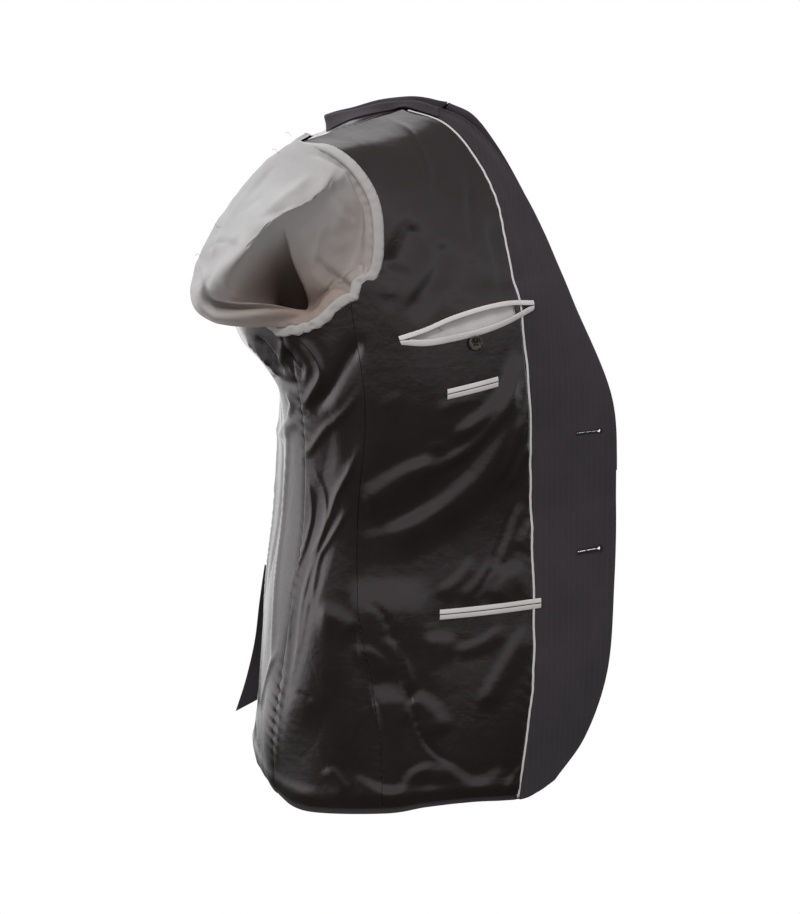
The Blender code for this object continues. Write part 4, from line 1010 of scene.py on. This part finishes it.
# ----------------------------------------------------------------- sleeve wool
# The outside of each sleeve: a tube of the striped wool round the hanging lining,
# inside the body.  It is cut off at the throat, since its head would not be seen.
for side, word in WORD.items():
    grid, out = sleeve_grid(side, np.linspace(0, 12, 97), spread(4.5, 80, 11))
    piece = cloth_piece("sleeve_shell_" + word, WOOL, grid + out * SHELL_OUT, out, ring=True)

# --------------------------------------------------------------- armhole bands
# A folded strip of the grey satin, felled by hand over the seam of each armhole.
# It is eased in, so it lies in small lumps and puckers, most of all under the arm.
BAND_W = 0.0095
BAND = ("satin", TRIM_T, pale_satin("band_satin", (0.305, 0.294, 0.293), (0.372, 0.363, 0.365),
                                    (0.305, 0.280, 0.270), 0.0)[0], "grey_satin")
BAND_LIFT = [1.4, 1.3, 1.2, 1.2, 1.3, 1.5, 1.8, 2.0, 1.4, 1.2, 1.2, 1.3]      # by hour
# Height of the band by share of its width, and the shares where it has a row of points.
BAND_SHAPE = ([-0.16, -0.12, 0.0, 0.2, 0.5, 0.8, 0.95, 1.0], [-1.6, 0.0, 0.9, 1.3, 1.4, 1.1, 0.5, -0.5])
BAND_SHARES = [-0.16, -0.13, -0.06, 0.05, 0.2, 0.35, 0.5, 0.65, 0.8, 0.9, 0.97, 1.0]


def band_grid(side, hours, shares):
    """Points and normals of the band, at shares of its width from the armhole's edge."""
    edge, normal, away = armhole(side, hours)
    lift = round_loop([(r,) for r in BAND_LIFT], hours)[:, 0]
    under = 0.06 + 0.94 * np.exp(-(np.abs(np.mod(hours, 12.0) - 6.1) / 1.9) ** 3)
    turns = hours / 12 * 2 * math.pi
    beat = np.sin(turns * 37 + 2.2 * np.sin(hours * 3.1)) * under + 0.9 * np.sin(turns * 17 + 0.6) * under
    columns = []
    for share, height in zip(shares, np.interp(shares, *BAND_SHAPE)):
        reach = BAND_W * share + 0.0007 * beat * share
        bump = (0.55 * lift + height + 0.9 * beat * math.sin(math.pi * min(max(share, 0), 1))) * MM
        columns.append(edge + away * reach[:, None] + normal * bump[:, None])
    grid = np.array(columns).transpose(1, 0, 2)
    grid[-1] = grid[0]
    return grid, np.repeat(normal[:, None], len(shares), axis=1)


for side, word in WORD.items():
    piece = cloth_piece("armhole_band_" + word, BAND,
                        *band_grid(side, np.linspace(0, 12, 401), BAND_SHARES), ring=True)

# ---------------------------------------------------------------------- collar
# Top and under collar folded as one, in the same wool.  The stand shows as a soft
# edge round the neck, and the leaf lies down on the inside.
COLLAR = ("wool", 0.0016, suit_wool, "wool")
LEAF_DEPTH = LINING_ROOM + LAYER_GAP + WOOL_ROOM + 0.0070      # of the leaf inside the skin
# Guide and level at the neck seam, then at the free edge of the leaf.
COLLAR_RAYS = [(0.0, 12.0, 0.0, 10.35), (0.55, 12.0, 0.6, 10.5), (1.1, 12.0, 1.35, 10.65),
               (1.6, 12.0, 2.1, 10.9), (2.0, 11.99, 2.7, 11.3), (9.0, 11.62, 8.1, 11.85),
               (9.0, 11.27, 8.25, 11.65)]
# The fold of the collar, and how far its right end comes forward.
COLLAR_FOLD = [(-79, 0, -13.5, 0), (-66, -19, -10.5, 0), (-48, -36.5, -6, 0), (-20, -56, 0.5, 0),
               (6, -67.5, 3.8, 1), (24, -73.5, 1.5, 5), (37.0, -76.8, -2.0, 10)]


def collar_half(side):
    """Lines over the collar of one half, from the neck seam over its fold to the leaf's edge."""
    rays = []
    for (u0, v0, u1, v1), (x, y, z, ahead) in zip(COLLAR_RAYS, COLLAR_FOLD):
        top = np.array([x + (ahead if side == RIGHT else 0), -side * y, z]) * MM
        foot, out = [a[0] for a in skin(side, u0, v0)[:2]]
        away = foot + unit(top - foot) * (0.0009 if u0 < NECK_POINT else 0.0022)
        inward = unit(np.array([-0.020 - foot[0], -foot[1], 0.0]))
        line = [away, (away + top) / 2, top, foot + inward * 0.0100 - out * 0.0030]
        for t in (0.4, 0.7, 1.0):
            point, normal = [a[0] for a in skin(side, u0 + (u1 - u0) * t, v0 + (v1 - v0) * t)[:2]]
            line.append(point - normal * LEAF_DEPTH)
        rays.append(line)
    return rays


collar_lines = np.array(collar_half(RIGHT)[:0:-1] + collar_half(LEFT))
lines = through(collar_lines, np.linspace(-0.22, len(collar_lines) - 0.78, 125))
grid = through(lines.transpose(1, 0, 2), spread(0, 12, 2, 16, 3, 22, 6)).transpose(1, 0, 2)
out = unit(np.cross(np.gradient(grid, axis=1), np.gradient(grid, axis=0)))
round_neck, over_fold = [np.arange(n) for n in grid.shape[:2]]
swell = 0.5 * MM * np.sin(round_neck * 0.33)[:, None] * np.sin(over_fold * 0.21)
piece = cloth_piece("collar", COLLAR, grid + out * swell[:, :, None], out)

# --------------------------------------------------------------- breast pocket
# A wide inner pocket on the left front, whose mouth gapes.  Two folded welts of the
# grey satin frame it; the grey bag shows in the mouth, with its seam.
def on_front(x, z, v=5.6):
    """Points and normals of the draped left front at x and z, metres."""
    return draped(LEFT, *find_on_front(x, z, v))[:2]


def folded_strip(pocket, kind, place, far, near, v, width, rise):
    """A folded strip from its sewn edge, far, to its fold, near, each (x, z) rows."""
    turn = np.linspace(0, 1, 13)
    # Down at the sewn edge, full at the fold, then round the fold and back under.
    along_it = np.where(turn < 0.75, turn / 0.75, 1 - 0.10 * (turn - 0.75) / 0.25)
    rising = np.minimum(turn / 0.75, 1.0)
    under = np.maximum(turn - 0.75, 0.0) / 0.25
    height = (0.25 + rise * np.sin(np.pi * 0.62 * rising) ** 0.7) * (1 - under ** 1.5) - 0.6 * under
    length = np.linalg.norm(near - far, axis=1)
    reach = np.minimum(width * MM, length / 2 - 0.00025)
    columns, outs = [], []
    for share, up in zip(along_it, height):
        at = far + (near - far) / length[:, None] * (reach * share)[:, None]
        points, normal = on_front(at[:, 0], at[:, 1], v)
        wave = 0.18 * np.sin(at[:, 0] / MM / 7.3 + 1.5 * np.sin(at[:, 0] / MM / 17.0)) * share
        columns.append(points + normal * ((0.6 + up + wave) * MM)[:, None])
        outs.append(normal)
    grid, out = np.array(columns).transpose(1, 0, 2), np.array(outs).transpose(1, 0, 2)
    cloth_piece(pocket + "_" + kind + "_" + place, TRIM, grid, out,
                name=pocket + "_" + place + "_" + kind + "_satin")


mouth = through(np.array(MOUTH) * MM, np.linspace(0, 5, 111))
upper_edge, lower_edge = mouth[:, :2], mouth[:, 2:]
folded_strip("breast_pocket", "welt", "upper", upper_edge, lower_edge, 5.8, 5.0, 1.5)
folded_strip("breast_pocket", "welt", "lower", lower_edge, upper_edge, 5.5, 6.6, 1.7)

BAG_EDGE, BAG_DEPTH = 0.0014, 0.0036
bag_us = np.linspace(MOUTH_FROM - 0.10, MOUTH_TO + 0.07, 70)
along_mouth = np.linspace(0, 1, len(bag_us))
low = np.interp(bag_us, *MOUTH_BOTTOM) - 0.11
high = np.interp(bag_us, *MOUTH_TOP) + 0.11
columns, outs = [], []
for share in np.linspace(0, 1, 24):
    hollow = (np.sin(np.pi * np.clip(along_mouth, 0.02, 0.98)) ** 0.5) * (math.sin(math.pi * share) ** 0.8)
    crease = 0.5 * np.exp(-((along_mouth - 0.33 - 0.06 * share) / 0.014) ** 2)
    depth = (BAG_EDGE + (BAG_DEPTH - BAG_EDGE) * hollow - crease * MM
             + 0.3 * MM * np.sin(along_mouth * 37 + 4 * share))
    points, normal, _, _ = draped(LEFT, bag_us, low + (high - low) * share, -depth)
    columns.append(points)
    outs.append(normal)
piece = cloth_piece("breast_pocket_bag", TRIM, np.array(columns).transpose(1, 0, 2),
                    np.array(outs).transpose(1, 0, 2))

# ------------------------------------------- pen pocket and lower inner pocket
# Two jetted pockets in the left front lining: a slit between two narrow folded
# strips of the grey satin, closed with a row of dark stitches.
JET = 5.2                  # width of one jet
# Both ends of each slit, and the level it lies near.
JETTED = {"pen_pocket": ((48.1, -288.3), (100.0, -277.7), 5.2),
          "ticket_pocket": ((40.9, -518.0), (146.2, -511.3), 3.0)}
for pocket, (first, last, v) in JETTED.items():
    middle = np.linspace(first, last, 60) * MM
    for place, sign in (("upper", 1), ("lower", -1)):
        far = middle + np.array([0, sign * JET * MM])
        near = middle - np.array([0, sign * (JET - 0.4) * MM])
        folded_strip(pocket, "jet", place, far, near, v, JET - 0.2, 0.9)

# --------------------------------------------------------------- hand stitches
# Dark silk thread: the jetted pockets are closed with it and tacked at their ends, the
# side seam is caught down near the hem, and the armhole bands are felled with it.
dark_thread, tree, shader = new_look("dark_thread", (0.014, 0.012, 0.013), 0.55)
place = add_node(tree, "TexCoord", out="Object")
mottle = add_node(tree, "TexNoise", place, Scale=240.0, Detail=2.0)
twist = add_node(tree, "TexWave", place, out="Fac", Scale=900.0, Distortion=0.5)
rope = add_node(tree, "Bump", Strength=0.5, Distance=0.00005, Height=twist)
set_up(shader, Base_Color=dyed(tree, mottle, (0.009, 0.008, 0.009), (0.026, 0.023, 0.024)), Normal=rope)


def stitches(name, starts, ends, radius):
    """A run of short threads, each from its start to its end."""
    bm = bmesh.new()
    for start, end in zip(starts, ends):
        start, end = Vector(start), Vector(end)
        along = end - start
        turn = along.to_track_quat("Z", "Y").to_matrix().to_4x4()
        size = Matrix.Diagonal((radius, radius, along.length / 2 + radius * 0.5, 1.0))
        bmesh.ops.create_uvsphere(bm, u_segments=6, v_segments=5, radius=1.0,
                                  matrix=Matrix.Translation((start + end) / 2) @ turn @ size)
    finish_piece(name, bm, dark_thread, [])


def thread_on_front(rows, lift, v):
    """Lifted points on the draped left front, from rows of x and z in millimetres."""
    x, z = np.array(rows, float).T * MM
    points, normal = on_front(x, z, v)
    return points + normal * (lift * MM)


for pocket, ((x0, z0), (x1, z1), v) in JETTED.items():
    count = int((x1 - x0) / 4.0)
    t = (np.arange(count) + 0.5) / count
    slit = np.stack([x0 + (x1 - x0) * t, z0 + (z1 - z0) * t + 0.25 * np.sin(np.arange(count) * 2.3)], axis=1)
    tack_z = np.linspace(-4.4, 4.4, 9)
    tack_from = np.stack([np.full(9, x0 + 0.4), z0 + tack_z], axis=1)
    tack_to = np.stack([x0 - 3.6 + 0.25 * np.abs(tack_z), z0 + 0.35 * tack_z], axis=1)
    far_from = np.stack([np.full(9, x1 - 0.4), z1 + tack_z], axis=1)
    runs = ((slit - (1.1, 0.1), 1.55, slit + (1.1, 0.1), 1.55), (tack_from, 0.9, tack_to, 0.25),
            (far_from, 0.9, far_from + (1.4, 0.3), 0.5))
    starts = np.concatenate([thread_on_front(start, lift, v) for start, lift, _, _ in runs])
    ends = np.concatenate([thread_on_front(end, lift, v) for _, _, end, lift in runs])
    stitches(pocket + "_stitches", starts, ends, 0.00024)

for side, word in WORD.items():
    # side seam, from the hem up to the hip
    rows = []
    for shift in (-0.014, 0.014):
        points, _, across, _ = draped(side, SIDE_SEAM, np.linspace(0.35, 3.3, 34) + shift, 0.00012)
        rows.append(points + unit(across) * (0.0004 * np.sign(shift)))
    stitches("side_seam_stitches_" + word, rows[0], rows[1], 0.00042)
    # felling of the armhole band
    hours = np.concatenate([np.linspace(0.4, 11.6, 58), np.linspace(5.0, 7.6, 9)])
    outer, normal = band_grid(side, hours, [0.985])
    inner = band_grid(side, hours + 0.035, [0.78])[0]
    lift = normal[:-1, 0] * 0.00035
    stitches("armhole_band_stitches_" + word, outer[:-1, 0] + lift, inner[:-1, 0] + lift, 0.00018)

# seam across the bag, seen in the mouth of the breast pocket
seam = np.linspace((33.5, -216.0), (43.0, -223.0), 5)
stitches("breast_pocket_bag_stitches", thread_on_front(seam - (0.8, -0.6), -3.0, 5.8),
         thread_on_front(seam + (0.8, -0.6), -3.0, 5.8), 0.00022)

# -------------------------------------------------------- buttonhole stitching
# Each keyhole is worked all round with dark purl stitches, and basted shut with a few
# threads across the slit.
for k, hole in enumerate(BUTTONHOLES):
    ends, normals = buttonhole_ends(*hole)
    out = unit(normals.mean(axis=0))
    along = unit(ends[1] - ends[0])
    across = unit(np.cross(out, along))
    length = np.linalg.norm(ends[1] - ends[0])
    t = np.arange(-0.0012, length - 0.0016, 0.00075)
    centre = ends[0] + along * t[:, None] + out * 0.0007
    starts = [centre + across * s * 0.0007 for s in (-1, 1)]
    tips = [centre + across * s * 0.0024 - out * 0.0004 for s in (-1, 1)]
    a = np.radians(np.arange(-140, 141, 20))
    round_eye = along * np.cos(a)[:, None] + across * np.sin(a)[:, None]
    starts.append(ends[1] + out * 0.0007 + round_eye * 0.0021)
    tips.append(ends[1] + out * 0.0003 + round_eye * 0.0037)
    shut = length * np.array([0.05, 0.33, 0.36, 0.39, 0.62, 0.80, 0.83])
    bar = ends[0] + along * shut[:, None] + out * 0.0006
    starts.append(bar - across * 0.0015)
    tips.append(bar + across * 0.0015)
    stitches("buttonhole_stitches_%d" % (k + 1), np.concatenate(starts), np.concatenate(tips), 0.00032)

# --------------------------------------------------------------------- buttons
# Dark horn buttons, turned with a raised rim and sewn through four holes on a short
# thread shank: one under the breast pocket, two on the outside of the right front.
horn, tree, shader = new_look("horn", (0.030, 0.024, 0.022), 0.16)
place = add_node(tree, "TexCoord", out="Object")
streaks = add_node(tree, "TexNoise", place, Scale=190.0, Detail=5.0, Roughness=0.6, Distortion=1.2)
scratch = add_node(tree, "Bump", Strength=0.3, Distance=0.00003, Height=streaks)
set_up(shader, Base_Color=dyed(tree, streaks, (0.009, 0.007, 0.006), (0.085, 0.060, 0.042), 0.42, 0.70),
       Normal=scratch, Specular_IOR_Level=0.9)
# Section of a button: share of its radius, share of its thickness.
BUTTON_SECTION = [(0.0, 0.0), (0.55, 0.0), (0.80, 0.10), (0.96, 0.35), (1.0, 0.58), (0.97, 0.84),
                  (0.90, 1.0), (0.80, 1.0), (0.70, 0.84), (0.60, 0.70), (0.30, 0.64), (0.0, 0.62)]
HOLE_AT, HOLE_RADIUS = 0.21, 0.115         # shares of the radius
SHANK = 0.0020


def button(node, foot, out, radius, thick):
    """A button that stands on its foot and faces out, with its thread."""
    out = Vector(out).normalized()
    stand = Matrix.Translation(Vector(foot)) @ out.to_track_quat("Z", "X").to_matrix().to_4x4()
    bm = bmesh.new()
    chain = [bm.verts.new((radius * r, 0.0, SHANK + thick * h)) for r, h in BUTTON_SECTION]
    edges = [bm.edges.new(pair) for pair in zip(chain, chain[1:])]
    bmesh.ops.spin(bm, geom=chain + edges, cent=(0, 0, 0), axis=(0, 0, 1), angle=2 * math.pi, steps=36,
                   use_merge=True)
    bmesh.ops.remove_doubles(bm, verts=bm.verts, dist=0.00001)
    bmesh.ops.recalc_face_normals(bm, faces=bm.faces)
    bmesh.ops.transform(bm, verts=bm.verts, matrix=stand)
    piece = finish_piece(node + "_horn", bm, horn, [node])
    holes = [(radius * HOLE_AT * a, radius * HOLE_AT * b) for a in (-1, 1) for b in (-1, 1)]
    bm = bmesh.new()
    for x, y in holes:
        bmesh.ops.create_cone(bm, segments=14, radius1=radius * HOLE_RADIUS, radius2=radius * HOLE_RADIUS,
                              cap_ends=True, depth=2 * (SHANK + thick),
                              matrix=stand @ Matrix.Translation((x, y, SHANK)))
    settle(piece, [to_object("holes", bm)])
    high = SHANK + thick * 0.72
    starts, ends = [], []
    for (xa, ya), (xb, yb) in ((holes[0], holes[3]), (holes[1], holes[2])):
        for shift in (-0.00022, 0.00022):
            starts.append(stand @ Vector((xa, ya + shift, high)))
            ends.append(stand @ Vector((xb, yb + shift, high)))
    for x, y in holes:
        starts.append(stand @ Vector((x, y, high)))
        ends.append(stand @ Vector((x * 0.5, y * 0.5, 0.0)))
    stitches(node + "_thread", starts, ends, 0.00028)


# Radius and thickness of each kind.
POCKET_BUTTON, FRONT_BUTTON = (0.0075, 0.0026), (0.0105, 0.0034)
at, out = on_front(0.0757, -0.2374)
button("pocket_button", at[0] + out[0] * 0.0004, out[0], *POCKET_BUTTON)
FRONT_BUTTON_GUIDE = 10.72
FRONT_BUTTON_DEPTHS = (0.3335, 0.4595)     # below the origin
levels = np.linspace(5.5, 2.5, 60)
depths = -body(RIGHT, np.full(60, FRONT_BUTTON_GUIDE), levels, True)[:, 2]
for k, depth in enumerate(FRONT_BUTTON_DEPTHS):
    at, out = skin(RIGHT, FRONT_BUTTON_GUIDE, np.interp(depth, depths, levels), True)[:2]
    button("front_button_%d" % (k + 1), at[0] - out[0] * 0.0036, -out[0], *FRONT_BUTTON)

# --------------------------------------------------------------- loose threads
# A few ends of the dark sewing thread, left untrimmed, stand off the head of each
# sleeve.  Each row is a start, the way to its end, and how far it bows upwards.
THREADS = [(-122, -196, -44, -7, -3, 4, 2.5), (-181, -199, -117, -6, -2, 3, -2),
           (-203, -180, -149, -5, -2, 1, 2.5)]
for side, word in WORD.items():
    starts, ends = [], []
    for x, y, z, dx, dy, dz, bow in THREADS:
        t = np.linspace(0, 1, 6)
        bend = np.sin(t * math.pi) * bow
        line = np.stack([x + dx * t, -side * (y + dy * t), z + dz * t + bend], axis=1) * MM
        starts += list(line[:-1])
        ends += list(line[1:])
    stitches("loose_threads_" + word, starts, ends, 0.00017)

# ------------------------------------------------------------------- vent flap
# One corner of the right back vent is turned outward and shows its wool facing.  It
# hangs free from its root, given with its free edge from the top down.
VENT = [(-145.2, 3.5, -500, -146.5, 3.0, -498), (-147.9, 5.5, -540, -152.5, 4.0, -541),
        (-150.5, 7.5, -580, -158, 5.5, -583), (-153.5, 10, -620, -168.5, 8.5, -627),
        (-156.2, 12.5, -650, -180, 12.0, -663)]
flap = through(np.array(VENT) * MM, np.linspace(0, 4, 70))
shares = np.linspace(0, 1, 14)
grid = flap[:, None, :3] + (flap[:, None, 3:] - flap[:, None, :3]) * shares[:, None]
curl = np.sin(np.linspace(0, 5.0, 70))[:, None] * shares ** 1.5 * 1.3 * MM
out = np.broadcast_to(unit(np.array([0.05, -1.0, 0.05])), grid.shape)
grid = grid + out * (curl + 0.0007)[:, :, None]
piece = cloth_piece("vent_facing_right", WOOL, grid, out, flat=flat_positions(grid)[:, :, ::-1])

# ------------------------------------------------------- camera, floor and light
# A plain pale floor well below the hem, which glows; a white wall behind and to the left, soft boxes, and a
# camera a little above the shoulders that looks slightly down.
cam = bpy.data.cameras.new("camera")
cam.sensor_fit = "VERTICAL"
cam.sensor_height = 36.0
cam.lens = 131.3
camera = bpy.data.objects.new("camera", cam)
camera.location = (0.0, -3.565, 0.121)
camera.rotation_euler = (math.radians(82.0), 0.0, 0.0)
bpy.context.scene.collection.objects.link(camera)
bpy.context.scene.camera = camera

bm = bmesh.new()
bmesh.ops.create_grid(bm, x_segments=1, y_segments=1, size=6.0,
                      matrix=Matrix.Translation((0.0, 0.0, -1.05)))
floor = to_object("floor", bm)
# The floor glows and takes no light. The camera sees it plain white. In the gloss of the satin it glows
# bright behind and to the left and dim in front where the camera stands, with a painted shadow that darkens
# it near the garment.
pale, tree, shader = new_look("pale_floor", (0.90, 0.90, 0.90), 0.9)
rays = add_node(tree, "LightPath").node.outputs
spot = add_node(tree, "TexCoord", out="Object")
x, y, _ = parts_of(tree, spot)
behind = add_node(tree, "Math", y, x, operation="SUBTRACT")
mirrored = add_node(tree, "MapRange", behind, -0.3, 0.8, 0.04, 1.3)
# Painted shadow: the glow falls away towards the garment, as if the garment shaded the floor.
level = add_node(tree, "VectorMath", spot, (1.0, 1.0, 0.0), operation="MULTIPLY")
apart = add_node(tree, "VectorMath", level, operation="LENGTH", out="Value")
shaded = add_node(tree, "MapRange", apart, 0.8, 3.0, 0.03, 1.0)
below = add_node(tree, "Math", mirrored, shaded, operation="MULTIPLY")
bounce = blend(tree, rays["Is Glossy Ray"], 0.62, below, colour=False)
seen = blend(tree, rays["Is Camera Ray"], bounce, 1.0, colour=False)
glow = add_node(tree, "Emission", Strength=seen)
feed(tree.nodes["Material Output"].inputs["Surface"], glow)
floor.data.materials.append(pale)

world = bpy.data.worlds.new("studio")
bpy.context.scene.world = world
world.use_nodes = True
tree = world.node_tree
WHITE = (1.0, 1.0, 1.0, 1.0)
# The lit white wall is behind the garment and comes round its left; above is a dim
# ceiling, and the rest of the room, where the camera stands, is dark.
heading = add_node(tree, "TexCoord", out="Generated")
x, y, z = parts_of(tree, heading)
low_wall = add_node(tree, "Math", y, z, operation="SUBTRACT")
round_left = add_node(tree, "Math", x, -1.0, y, operation="MULTIPLY_ADD")
wall, left, ceiling = [add_node(tree, "MapRange", source, *stops, interpolation_type="SMOOTHSTEP")
                       for source, stops in ((low_wall, (-0.10, 0.22, 0.04, 1.5)),
                                             (round_left, (0.0, 0.18, 0.0, 1.5)),
                                             (z, (-0.01, 0.07, 0.0, 0.46)))]
overhead = add_node(tree, "MapRange", z, 0.25, 0.80, 1.0, 0.45)
ceiling = add_node(tree, "Math", ceiling, overhead, operation="MULTIPLY")
walls = add_node(tree, "Math", wall, left, operation="MAXIMUM")
room = add_node(tree, "Math", walls, ceiling, operation="MAXIMUM")
# The soft light that falls on the cloth comes mostly from above, left and behind.
lean = add_node(tree, "VectorMath", heading, (-0.20, 0.10, 0.70), operation="DOT_PRODUCT", out="Value")
soft = add_node(tree, "MapRange", lean, 0.0, 0.75, 0.50, 1.45)
rays = add_node(tree, "LightPath").node.outputs
set_up(tree.nodes["Background"], WHITE, blend(tree, rays["Is Glossy Ray"], soft, room, colour=False))
seen = add_node(tree, "Background", WHITE, 1.0)
both = add_node(tree, "MixShader", rays["Is Camera Ray"], tree.nodes["Background"].outputs[0], seen)
feed(tree.nodes["World Output"].inputs["Surface"], both)

# Place, aim, size and power of each soft box.  The key box is kept out of the gloss.
SOFT_BOXES = {"box_left": ((-2.0, -0.9, 1.1), (0.0, -0.1, -0.3), 1.4, 1.2),
              "box_above": ((-0.5, -0.3, 2.2), (0.0, -0.1, -0.3), 1.6, 3.0),
              "box_key": ((-0.6, -1.8, 1.5), (0.0, -0.1, -0.2), 0.7, 32.0)}
for name, (place, aim, size, power) in SOFT_BOXES.items():
    light = bpy.data.lights.new(name, "AREA")
    light.shape = "RECTANGLE"
    light.size = size
    light.size_y = size
    light.energy = power
    lamp = bpy.data.objects.new(name, light)
    lamp.location = place
    lamp.visible_glossy = name != "box_key"
    lamp.rotation_euler = (Vector(aim) - Vector(place)).to_track_quat("-Z", "Y").to_euler()
    bpy.context.scene.collection.objects.link(lamp)
bpy.context.scene.view_settings.view_transform = "Standard"
